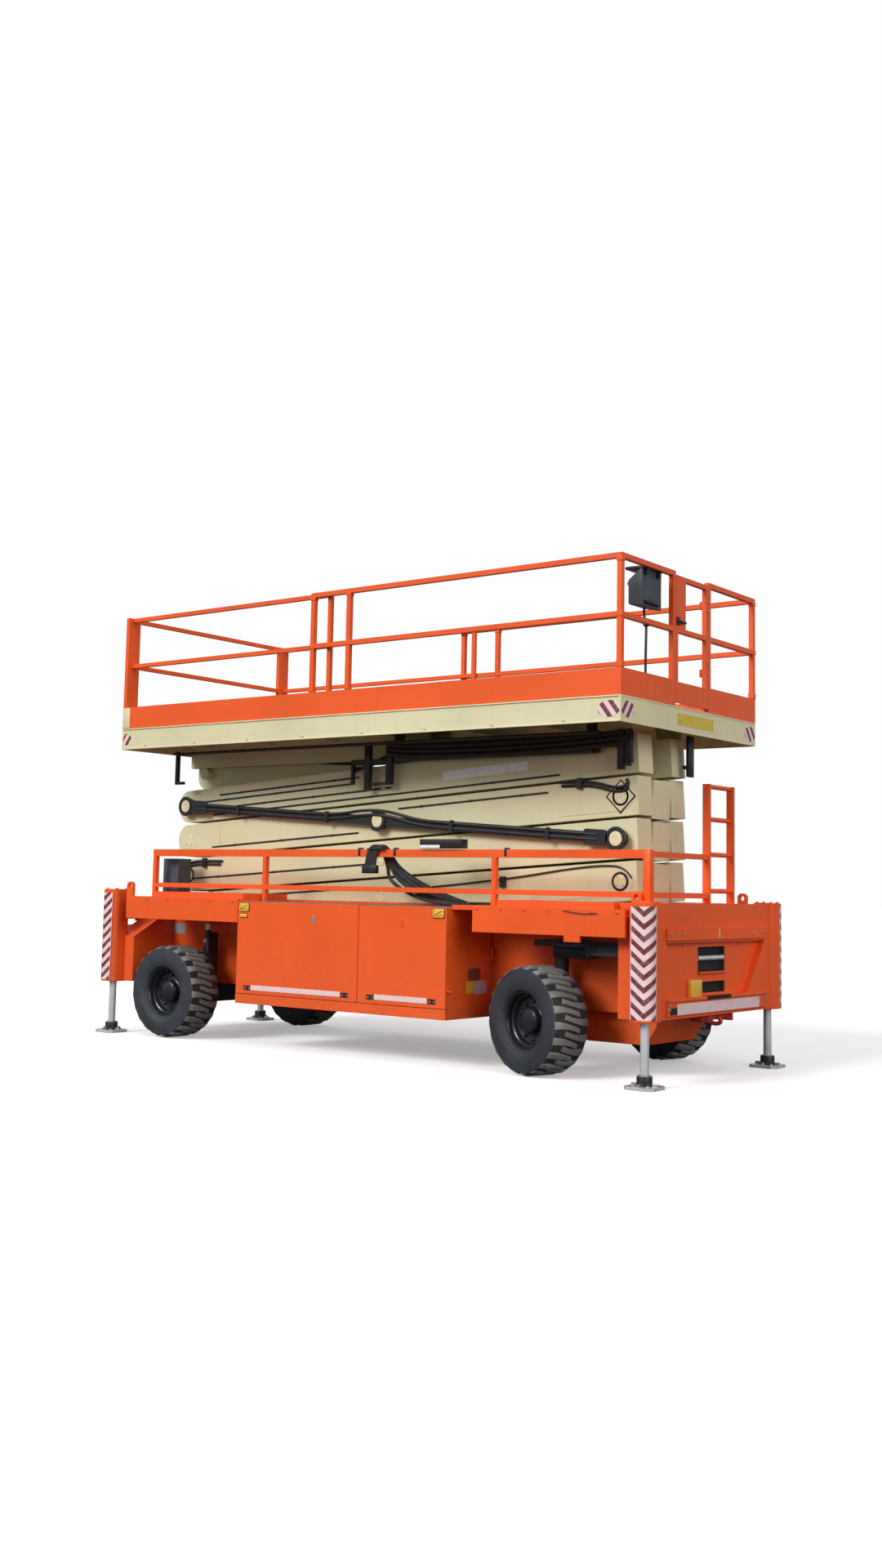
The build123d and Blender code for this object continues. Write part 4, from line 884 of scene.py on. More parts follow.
class LIFT_OT_hoses(bpy.types.Operator):
    """Hoses, clamps and loops that lie along the carrier beam and the arm ends"""

    bl_idname = "lift.hoses"
    bl_label = "Hoses"

    # name, body, pin, thickness against the hose size, rows, (x, z) from the pin
    loop_rows = (
        ("first_left", "outer_arm_2", LEFT_PINS[1], 0.85, 2,
         ((0.50, 0.148), (0.25, 0.150), (0.06, 0.140), (-0.06, 0.095), (-0.115, 0.02), (-0.118, -0.06),
          (-0.10, -0.12))),
        ("third_right", "outer_arm_3", RIGHT_PINS[3], 0.85, 2,
         ((-0.62, 0.135), (-0.40, 0.140), (-0.22, 0.120), (-0.06, 0.075), (0.06, 0.085), (0.085, 0.12),
          (0.06, 0.148))),
        ("first_right", "outer_arm_1", RIGHT_PINS[1], 0.5, 1,
         ((-2.0, -0.075), (-1.2, 0.0), (-0.5, 0.105), (-0.12, 0.140), (0.06, 0.115), (0.115, 0.03))),
    )

    def execute(self, context):
        radius = sizes().hose
        right, left = RIGHT_PINS[2], LEFT_PINS[3]
        along = (left - right).normalized()
        up = Vector((along.z, 0, -along.x))
        lines = []
        for rise in (0.024, -0.020):
            points = []
            for share in (0.035, 0.12, 0.25, 0.4, 0.47, 0.53, 0.6, 0.75, 0.88, 0.965):
                over_eye = 0.072 if abs(share - 0.5) < 0.04 else 0.0
                spot = right + (left - right) * share + up * (rise + over_eye)
                points.append(at_depth(spot, -CARRIER_FACE - radius * 0.55))
            lines.append(hose_run("beam_hose", points, radius * 0.9))
        fit("beam_hoses", "inner_arm_3", "hose_rubber", *lines)
        spots = [right + (left - right) * share for share in (0.13, 0.33, 0.62, 0.85)]
        self.on_carrier("beam_clamps", up, spots, 0.036, 0.112, 0.03, 0.01)
        rings = []
        for spot in (right, CENTRES[2], left):
            ring = washer("ring", 0.070, 0.102, 0.016, 0.006, 40)
            rings += copies(ring, [facing_frame(at_depth(spot, -CARRIER_FACE), (0, -1, 0))])
        spots = (right + along * 0.20, left - along * 0.20)
        self.on_carrier("eye_shrouds", up, spots, 0.24, 0.135, 0.016, 0.03, rings)
        self.loops(radius)
        return {"FINISHED"}

    def on_carrier(self, name, up, spots, wide, tall, thick, corner, more=()):
        """Black plates on the carrier's face, joined with more pieces where given."""
        plates = [plate_on("plate", at_depth(spot, -CARRIER_FACE), (0, -1, 0), wide, tall, thick, up, corner)
                  for spot in spots]
        fit(name, "inner_arm_3", "black_enamel", *more, *plates)

    def loops(self, radius):
        """Loops that go round the arm ends, each on one arm."""
        face = -ARM_FACE - 0.010
        for name, body, spot, share, rows, points in self.loop_rows:
            for row in range(rows):
                line = [(spot.x + x * (1 - 0.05 * row), face, spot.z + z - row * 0.034) for x, z in points]
                dress(hose_run(f"loop_{name}_{row}", line, radius * share), body, "hose_rubber")
            x, z = points[1]
            seat = (spot.x + x, -ARM_FACE, spot.z + z - 0.02)
            dress(plate_on(f"loop_clamp_{name}", seat, (0, -1, 0), 0.05, 0.10, 0.034), body, "black_enamel")


class LIFT_OT_doors(bpy.types.Operator):
    """Strips, hinge bolts, latches and marker lamps on the four drop doors"""

    bl_idname = "lift.doors"
    bl_label = "Door trim"

    hinge_in, hinge_wide, hinge_rise, hinge_sunk = 0.100, 0.090, 0.0525, 0.015
    leaf_thick, bolt_shift = 0.006, 0.026
    strip = (0.536, 0.582)
    gasket_thick = 0.004
    # first, last along the door from its outer end, low, high
    lamps = {
        "left": ((0.018, 0.150, 1.262, 1.350), (0.022, 0.130, 1.205, 1.248)),
        "right": ((-0.150, -0.018, 1.262, 1.350),),
    }

    def lamp(self, name, door, span, rise, sign, face):
        """Black gasket with a domed amber lens."""
        out = (0, sign, 0)
        x, z = sum(span) / 2, sum(rise) / 2
        wide, tall = span[1] - span[0], rise[1] - rise[0]
        thick = self.gasket_thick
        gasket = plate_on(name + "_gasket", (x, sign * face, z), out, wide, tall, thick, corner=0.018)
        lens_seat = (x, sign * (face + thick), z)
        glass = plate_on(name, lens_seat, out, wide - 0.010, tall - 0.010, 0.0055, corner=0.016)
        pick_faces(glass, lambda part: part.normal.y * sign > 0.9)
        bpy.ops.mesh.inset(thickness=tall * 0.26, depth=0)
        bpy.ops.transform.translate(value=(0, sign * 0.0025, 0))
        close_edit()
        soften(glass, 0.002, 2)
        dress(gasket, door, "hose_rubber")
        dress(glass, door, "amber_lens")

    def execute(self, context):
        for side, sign in SIDES.items():
            for which, rows in self.lamps.items():
                door = f"door_{side}_{which}"
                low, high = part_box(door)
                face = max(abs(low.y), abs(high.y))
                inner = self.hinge_in + self.hinge_wide + 0.006
                first, last = low.x + inner, high.x - inner
                seat = ((first + last) / 2, sign * face, sum(self.strip) / 2)
                tall = self.strip[1] - self.strip[0]
                strip = plate_on(f"{door}_strip", seat, (0, sign, 0), last - first, tall, sizes().tape * 2,
                                 corner=0.004)
                dress(strip, door, "pale_tape")
                self.hinges(door, low, high, sign, face)
                self.latch(door, low, high, sign, face)
                end = low.x if which == "left" else high.x
                for number, (near, far, bottom, top) in enumerate(rows):
                    span = (end + near, end + far)
                    self.lamp(f"{door}_lamp_{number}", door, span, (bottom, top), sign, face)
        return {"FINISHED"}

    def hinges(self, door, low, high, sign, face):
        """Dark hinge leaf with two bolts in each slot."""
        leaves, bolts = [], []
        out, z, back = (0, sign, 0), low.z + self.hinge_rise, face - self.hinge_sunk
        for first in (low.x + self.hinge_in, high.x - self.hinge_in - self.hinge_wide):
            middle = first + self.hinge_wide / 2
            leaves.append(plate_on("leaf", (middle, sign * back, z), out, self.hinge_wide - 0.008, 0.037,
                                   self.leaf_thick, corner=0.004))
            for shift in (-self.bolt_shift, self.bolt_shift):
                bolts.append(facing_frame((middle + shift, sign * (back + self.leaf_thick), z), out))
        fit(f"{door}_leaves", door, "black_enamel", *leaves)
        dress(bolt_heads(f"{door}_bolts", bolts, 0.009, 0.006), door, "pin_steel")

    def latch(self, door, low, high, sign, face):
        """Oval latch cup with a paddle."""
        share, finish = (0.645, "pin_steel") if door.endswith("left") else (0.5, "orange_enamel")
        x, out = low.x + (high.x - low.x) * share, (0, sign, 0)
        cup = plate_on(f"{door}_cup", (x, sign * face, 1.215), out, 0.036, 0.075, 0.004, corner=0.016)
        paddle = plate_on(f"{door}_paddle", (x, sign * (face + 0.004), 1.222), out, 0.020, 0.046, 0.006,
                          corner=0.008)
        fit(f"{door}_latch", door, finish, cup, paddle, slot="chrome")


class LIFT_OT_tapes(bpy.types.Operator):
    """Chevron tapes on the outrigger housings, striped corner ovals and blank plates"""

    bl_idname = "lift.tapes"
    bl_label = "Tapes and plates"

    housing = Vector((3.1098, -1.085, 0))
    half, corner = 0.110, 0.075
    rise = (0.532, 1.408)
    back, wrap, gap = 0.068, 0.016, 0.0004  # start from the middle, run on the end flat, air under the tape
    oval_height = 2.976
    cabinet_end = 1.2448  # face of the cabinets' right ends
    rivet_in = 0.014

    def chevron(self):
        """Tape on the near flat, round the corner and a little way along the end flat."""
        start_x = self.housing.x - self.back
        turn_x, turn_y = self.housing.x + self.half - self.corner, self.housing.y - self.half + self.corner
        piece = start("chevron", bpy.ops.mesh.primitive_plane_add, size=1, rotation=(math.pi / 2, 0, 0))
        piece.scale = (turn_x - start_x, self.rise[1] - self.rise[0], 1)
        piece.location = ((start_x + turn_x) / 2, self.housing.y - self.half - self.gap, sum(self.rise) / 2)
        settle(piece)
        pick_edges(piece, lambda end: abs(end.x - turn_x) < 1e-5)
        bpy.ops.mesh.spin(steps=8, angle=-math.pi / 2, center=(turn_x, turn_y, 0), axis=(0, 0, 1))
        close_edit()
        if max(v.co.x for v in piece.data.vertices) < turn_x + self.corner * 0.9:
            raise RuntimeError("the chevron tape turned the wrong way")
        pick_edges(piece, lambda end: abs(end.y - turn_y) < 1e-4)
        bpy.ops.mesh.extrude_edges_move(TRANSFORM_OT_translate={"value": (0, self.wrap, 0)})
        bpy.ops.mesh.select_all(action="SELECT")
        bpy.ops.mesh.remove_doubles(threshold=1e-5)
        bpy.ops.mesh.normals_make_consistent(inside=False)
        close_edit()
        flat, arc = turn_x - start_x, self.corner * math.pi / 2
        layer = piece.data.uv_layers.active
        for loop in piece.data.loops:
            place = piece.data.vertices[loop.vertex_index].co
            if place.x <= turn_x + 1e-5:
                run = place.x - start_x
            elif place.y < turn_y + 1e-5:
                run = flat + self.corner * math.atan2(place.x - turn_x, turn_y - place.y)
            else:
                run = flat + arc + place.y - turn_y
            layer.data[loop.index].uv = (run / (flat + arc + self.wrap), place.z)
        pick(piece)
        thicken = piece.modifiers.new("thick", "SOLIDIFY")
        thicken.thickness = sizes().tape
        thicken.offset = 1.0
        bpy.ops.object.modifier_apply(modifier=thicken.name)
        bpy.ops.object.shade_smooth_by_angle(angle=SMOOTH_BELOW)
        return piece

    def oval(self, name, centre, outward, wide, tall, lean):
        """Striped oval on a face of the platform."""
        piece = start(name, bpy.ops.mesh.primitive_circle_add, vertices=32, radius=1, fill_type="NGON")
        piece.scale = (tall, wide, 1)
        settle(piece)
        pick_faces(piece, lambda face: True)
        extrude_sheet(sizes().tape)
        piece.data.transform(facing_frame(centre, outward))
        across = Vector(outward).cross(Vector((0, 0, 1))) * lean
        flat_uv(piece, across, (0, 0, 1), Vector(centre) - across * 0.5)
        dress(piece, "platform", "corner_tape")

    def blank(self, name, body, finish, centre, outward, wide, tall):
        """Blank plate with a rivet in each corner."""
        thin = sizes().tape
        dress(plate_on(name, centre, outward, wide, tall, thin * 1.5, corner=0.010), body, finish)
        outward, rivets = Vector(outward), []
        across = outward.cross(Vector((0, 0, 1))) * (wide / 2 - self.rivet_in)
        for shift in (-1, 1):
            for lift in (-1, 1):
                spot = Vector(centre) + across * shift + Vector((0, 0, (tall / 2 - self.rivet_in) * lift))
                rivets.append(facing_frame(spot + outward * thin * 1.4, outward))
        dress(bolt_heads(f"{name}_rivets", rivets, 0.006, 0.003), body, "pin_steel")

    def execute(self, context):
        places = [Matrix.Diagonal((end, -side, 1, 1)) for end in ENDS.values() for side in SIDES.values()]
        for number, piece in enumerate(copies(self.chevron(), places)):
            fit(f"chevron_{number}", "chassis", "chevron_tape", piece)
        low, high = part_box("platform_deck")
        z = self.oval_height
        for side, sign in SIDES.items():
            edge = high.y if sign > 0 else low.y
            self.oval(f"oval_front_{side}", (high.x - 0.112, edge, z), (0, sign, 0), 0.105, 0.068, sign)
            self.oval(f"oval_rear_{side}", (low.x + 0.075, edge, z), (0, sign, 0), 0.060, 0.060, -sign)
            self.oval(f"oval_end_{side}", (high.x, edge - sign * 0.112, z), (1, 0, 0), 0.105, 0.068, -sign)
        right, near, end = (1, 0, 0), (0, -1, 0), self.cabinet_end
        # name, body, finish, centre, outward, wide, tall
        for row in (
            ("end_plate", "platform", "yellow_plate", (high.x, 0.052, 2.980), right, 0.635, 0.100),
            ("cabinet_plate_brown", "chassis", "brown_plate", (end, -0.793, 0.779), right, 0.180, 0.104),
            ("cabinet_plate_yellow", "chassis", "yellow_plate", (end, -0.852, 0.672), right, 0.108, 0.100),
            ("cabinet_plate_grey", "chassis", "lilac_plate", (end, -0.698, 0.668), right, 0.186, 0.116),
            ("frame_plate", "chassis", "grey_plate", (-2.766, -0.520, 1.050), near, 0.200, 0.112),
            ("far_cabinet_plate", "chassis", "yellow_plate", (end, 0.80, 0.80), right, 0.150, 0.100),
        ):
            self.blank(*row)
        return {"FINISHED"}


class LIFT_OT_end_beams(bpy.types.Operator):
    """Black sheets of painted shade in the slots, tow bar, markers, strips and bolts on the two end beams"""

    bl_idname = "lift.end_beams"
    bl_label = "End beam trim"

    face = 3.1998
    recess = 3.1198
    slots = ((0.702, 0.788), (0.876, 1.075))

    def beam(self, end, sign):
        """All on one end; the front is modelled and the rear is its mirror image, with a plain marker."""
        flip = Matrix.Diagonal((sign, 1, 1, 1))
        face, recess = self.face, self.recess

        def keep(name, finish, *pieces, slot=None):
            fit(f"{end}_{name}", "chassis", finish, *copies(joined(name, pieces), [flip]), slot=slot)

        def plate(y, z, wide, tall, thick, corner=0.008, depth=face):
            return plate_on("plate", (depth, y, z), (1, 0, 0), wide, tall, thick, corner=corner)

        # Black sunk sheets in the through slots: painted shade standing in for the dark inside of the beam.
        keep("painted_slot_shade", "black_tape_and_slot_shade", *(
            panel("slot_shade_sheet", (recess - 0.055, -0.238, low), (recess - 0.001, 0.238, high), (1, 0, 0), 0.006,
                  -0.042, 0.001)
            for low, high in self.slots
        ))
        bar_place = (recess - 0.012, 0, sum(self.slots[1]) / 2 + 0.01)
        bar = start("bar", bpy.ops.mesh.primitive_cylinder_add, vertices=24, radius=0.020, depth=0.40,
                    location=bar_place, rotation=(math.pi / 2, 0, 0))
        settle(bar)
        pick_faces(bar, lambda part: abs(part.normal.y) > 0.9)
        bpy.ops.mesh.extrude_faces_move(TRANSFORM_OT_shrink_fatten={"value": 0.02})
        bpy.ops.mesh.inset(thickness=0.006)
        close_edit()
        keep("tow_pin", "rod_chrome", soften(bar, 0.002, 1))
        keep("lips", "orange_enamel",
             block("slot_lip", (recess - 0.002, -0.245, 0.858), (recess + 0.030, 0.245, 0.874), 0.004),
             block("low_lip", (face - 0.004, -0.885, 0.655), (face + 0.018, 0.885, 0.680), 0.005))
        keep("marker_block", "amber_lens" if sign > 0 else "yellow_plate",
             block("marker", (recess - 0.002, -0.433, 0.668), (recess + 0.052, -0.248, 0.818), 0.016, 3),
             plate(-0.02, 1.190, 0.030, 0.075, 0.007, 0.012), slot="control_plastic")
        keep("strip", "pale_tape", plate(0.0, 0.596, 1.46, 0.088, sizes().tape * 2, 0.006))
        keep("dark_tape", "black_tape_and_slot_shade", plate(-0.79, 0.585, 0.110, 0.052, 0.004, 0.004),
             block("band", (face - 0.003, -0.255, 0.656), (face + 0.020, 0.172, 0.684), 0.003))
        keep("tow_hook", "hook_red", *self.hook())
        spots = [(y, 1.188) for y in (-0.84, -0.62, 0.62, 0.84)]
        spots += [(y, z) for y in (-0.86, 0.86) for z in (0.60, 0.635)]
        places = [facing_frame((face, y, z), (1, 0, 0)) for y, z in spots]
        keep("beam_bolts", "pin_steel", bolt_heads("heads", places, sizes().bolt, 0.009))
        keep("gusset_tabs", "orange_enamel",
             *(plate(y, 1.09, 0.02, 0.02, 0.008, depth=recess) for y in (-0.5, 0.5)))

    def hook(self):
        """Forged hook and its two cheeks under the beam."""
        cheeks = [block("cheek", (2.98, y - 0.014, 0.455), (3.165, y + 0.014, 0.552), 0.008)
                  for y in (-0.10, 0.30)]
        pin_line = [(3.10, y, 0.492) for y in (-0.16, 0.10, 0.36)]
        bend = ((3.05, 0.53), (3.13, 0.50), (3.165, 0.455), (3.12, 0.43), (3.07, 0.44))
        curl = [(x, 0.10, z) for x, z in bend]
        return [*cheeks, hose_run("hook_pin", pin_line, 0.024, 16), hose_run("curl", curl, 0.018, 12)]

    def execute(self, context):
        for end, sign in ENDS.items():
            self.beam(end, sign)
        return {"FINISHED"}


class LIFT_OT_legs(bpy.types.Operator):
    """Wiper rings under the housings, dark ankle bosses and ribbed pads on the outrigger legs"""

    bl_idname = "lift.legs"
    bl_label = "Leg trim"

    cap_top, cap_half, cap_bolt = 1.440, 0.085, 0.066
    boss = ((0.0365, 0.1065), (0.050, 0.1065), (0.0600, 0.1005), (0.0625, 0.094), (0.0625, 0.045),
            (0.072, 0.034), (0.072, 0.0265), (0.0365, 0.0265), (0.0365, 0.1065))
    wiper = ((0.0375, 0.516), (0.0375, 0.508), (0.056, 0.508), (0.060, 0.511), (0.060, 0.516),
             (0.0375, 0.516))

    def leg(self, leg):
        """Boss, pad ribs and wiper of one leg, and the cap on its housing."""
        low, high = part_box(leg)
        x, y = (low.x + high.x) / 2, (low.y + high.y) / 2
        place = Matrix.Translation((x, y, 0))
        quarters = [place @ Matrix.Rotation(step * math.pi / 2, 4, "Z") for step in range(4)]
        fit(f"{leg}_boss", leg, "black_enamel", *copies(turned("boss", self.boss, 32), [place]))
        ribs = copies(block("rib", (0.066, -0.006, 0.024), (0.118, 0.006, 0.046), 0.003, 1), quarters)
        between = Matrix.Rotation(math.pi / 4, 4, "Z") @ Matrix.Translation((0.092, 0, 0.0245))
        bolts = bolt_heads("heads", [quarter @ between for quarter in quarters], sizes().bolt, 0.009)
        fit(f"{leg}_ribs", leg, "pin_steel", *ribs, bolts)
        fit(f"{leg}_wiper", "chassis", "hose_rubber", *copies(turned("wiper", self.wiper, 32), [place]))
        half, z = self.cap_half, self.cap_top
        cap = block("cap", (x - half, y - half, z - 0.002), (x + half, y + half, z + 0.006), 0.003)
        corners = [Matrix.Translation((x + sx * self.cap_bolt, y + sy * self.cap_bolt, z + 0.006))
                   for sx in (-1, 1) for sy in (-1, 1)]
        fit(f"{leg}_cap", "chassis", "orange_enamel", cap, bolt_heads("heads", corners, sizes().bolt, 0.008))

    def execute(self, context):
        for end in ENDS:
            for side in SIDES:
                self.leg(f"leg_{end}_{side}")
        return {"FINISHED"}


class LIFT_OT_deck(bpy.types.Operator):
    """Wheel-arch beams, brackets, boxes, cable bundle and tread strips on the chassis"""

    bl_idname = "lift.deck"
    bl_label = "Deck trim"

    lock_rod = (-2.1998, -0.6475, 0)
    skirt = 1.1995
    rib_places = (1.62, 2.00, 2.72, -2.62, -2.10, -1.60)
    skirt_bolts = (1.56, 1.80, 2.04, 2.28, 2.68, 2.92, -1.32, -1.62, -1.92, -2.22, -2.52)
    rungs = (1.540, 1.850, 2.150, 2.430)
    rope = ((2.42, -1.215, 1.360), (2.50, -1.214, 1.350), (2.62, -1.213, 1.335), (2.74, -1.212, 1.345))

    def execute(self, context):
        for side, sign in SIDES.items():
            self.arches(side, sign)
        self.bundle()
        self.boxes()
        self.steps()
        return {"FINISHED"}

    def mirrored(self, name, sign, finish, *pieces, slot=None):
        """Keeps near-side pieces as they are and mirrors them for the far side."""
        flip = Matrix.Diagonal((1, -sign, 1, 1))
        fit(name, "chassis", finish, *copies(joined(name, pieces), [flip]), slot=slot)

    def arches(self, side, sign):
        """Black steering beam, column cover, lock cylinder ends and orange brackets of one side."""
        self.mirrored(
            f"arch_beam_{side}", sign, "black_enamel",
            panel("beam", (2.505, -1.000, 0.998), (2.850, -0.850, 1.090), (0, -1, 0), 0.014, -0.006),
            block("flange", (2.190, -1.010, 1.060), (2.560, -0.840, 1.094), 0.005),
            block("drop", (2.520, -1.006, 0.982), (2.548, -0.860, 1.092), 0.004),
            block("cover", (2.040, -0.770, 0.960), (2.420, -0.640, 1.060), 0.010),
        )
        self.mirrored(
            f"side_brackets_{side}", sign, "orange_enamel",
            block("foot", (1.2445, -0.640, 0.903), (1.300, -0.530, 0.921), 0.004),
            block("leaf", (1.262, -0.585, 0.915), (1.280, -0.535, 1.010), 0.006),
            block("gusset", (1.2445, -0.605, 0.700), (1.262, -0.590, 1.300), 0.003),
            block("tab", (1.2445, -1.188, 0.640), (1.290, -1.150, 0.652), 0.003),
        )
        ribs = [block("rib", (x - 0.006, -1.168, 1.166), (x + 0.006, -0.560, 1.335), 0.003)
                for x in self.rib_places]
        self.mirrored(f"wing_ribs_{side}", sign, "orange_enamel", *ribs)
        guard = block("lock_guard", (-2.165, -0.735, 0.560), (-2.105, -0.600, 1.030), 0.008)
        self.mirrored(f"lock_guard_{side}", sign, "black_enamel", guard)
        outline = ((0.030, 1.118), (0.034, 1.112), (0.034, 1.060), (0.030, 1.052), (0.030, 1.118))
        rod = turned("rod", outline, 24)
        rod.data.transform(Matrix.Translation(self.lock_rod))
        self.mirrored(f"lock_tip_{side}", sign, "rod_chrome", rod)
        eye = bolt_heads("eye", [facing_frame((-2.135, -0.735, 0.95), (0, -1, 0))], 0.026, 0.020)
        self.mirrored(f"lock_bolt_{side}", sign, "pin_steel", eye)
        places = [facing_frame((x, -self.skirt, 1.355), (0, -1, 0)) for x in self.skirt_bolts]
        heads = bolt_heads("heads", places, sizes().bolt, 0.008)
        self.mirrored(f"skirt_bolts_{side}", sign, "orange_enamel", heads)

    def strand(self, row):
        """Control points of one strand: up outside the rail, over it and down to the cabinet's top."""
        shift, rise = 0.030 * (row % 4), 0.028 * (row // 4)
        spread, far = 0.036 * row, 0.09 * ((row * 3) % 8 - 4) / 4
        over = rise / 4
        return (
            (0.10 + shift, -0.925, 1.70 - rise), (0.12 + shift, -0.925, 1.82),
            (0.15 + shift, -0.915, 1.884 - over), (0.18 + shift, -0.86, 1.892 - over),
            (0.21 + shift, -0.81, 1.83), (0.25 + shift, -0.79, 1.70 + rise),
            (0.36 + shift + far, -0.80 + spread / 4, 1.59 + rise),
            (0.55 + shift + far, -0.82 + spread / 2, 1.49 + rise),
            (0.80 + far, -0.84 + spread, 1.41 + rise), (1.04, -0.83 + spread, 1.378),
            (1.12, -0.82 + spread, 1.377), (1.20, -0.80 + spread, 1.377),
        )

    def bundle(self):
        """Ribbed cable bundle over the near rail, trailing down on to the cabinet's top, and its holders."""
        fit("cable_bundle", "chassis", "ribbed_hose",
            *(hose_run("cable", self.strand(row), 0.017, 8) for row in range(8)))
        fit("cable_holders", "chassis", "black_enamel",
            block("collar", (1.180, -0.860, 1.352), (1.225, -0.520, 1.404), 0.006),
            block("end_block", (0.070, -0.955, 1.640), (0.235, -0.902, 1.716), 0.008),
            block("strap", (0.120, -0.950, 1.858), (0.310, -0.852, 1.868), 0.003))
        post = block("corner_post", (2.984, -0.914, 1.430), (3.052, -0.848, 1.862), 0.006)
        dress(post, "chassis", "orange_enamel")
        clips = [block("clip", (x, -0.905, 1.80), (x + 0.03, -0.855, 1.875), 0.004)
                 for x in (-0.02, 0.40, 1.62)]
        fit("rail_clips", "chassis", "black_enamel", *clips)

    def boxes(self):
        """Control pouch on the rail with its lid, valve box on the deck and the rope of a pin."""
        pouch = panel("rail_box", (0.720, -0.930, 1.868), (1.180, -0.830, 1.950), (0, -1, 0), 0.012, 0.006)
        dress(pouch, "chassis", "black_enamel")
        valve = panel("valve_box", (-2.80, -0.74, 1.380), (-2.58, -0.56, 1.77), (0, -1, 0), 0.02, 0.008)
        dress(valve, "chassis", "console_plastic")
        lid = plate_on("rail_box_lid", (0.84, -0.930, 1.885), (0, -1, 0), 0.22, 0.026, 0.009, corner=0.004)
        dress(lid, "chassis", "white_plate")
        dress(hose_run("pin_rope", self.rope, 0.0035), "chassis", "hose_rubber")

    def steps(self):
        """Tread strips on the cabinet tops, and grip sleeves on the rungs."""
        for side, sign in SIDES.items():
            for number, (first, last) in enumerate(((-1.20, 0.20), (0.32, 1.20))):
                name = f"cabinet_tread_{number}_{side}"
                sheet = panel("sheet", (first, -1.16, 1.353), (last, -0.56, 1.358), (0, 0, 1), 0.02, 0.002,
                              0.001)
                self.mirrored(name, sign, "tread_plate", sheet, slot="orange_paint")
        outline = ((0.0165, -0.19), (0.0205, -0.186), (0.0205, 0.186), (0.0165, 0.19), (0.0165, -0.19))
        for number, z in enumerate(self.rungs):
            place = facing_frame((3.0273, 0.3115, z), (0, 1, 0))
            sleeve = copies(turned("sleeve", outline, 16), [place])
            fit(f"rung_sleeve_{number}", "chassis", "orange_enamel", *sleeve)


BAND_TALL = 0.2143  # cream band, from the platform's floor down
TOE_TALL = 0.22  # toe boards, from the platform's floor up


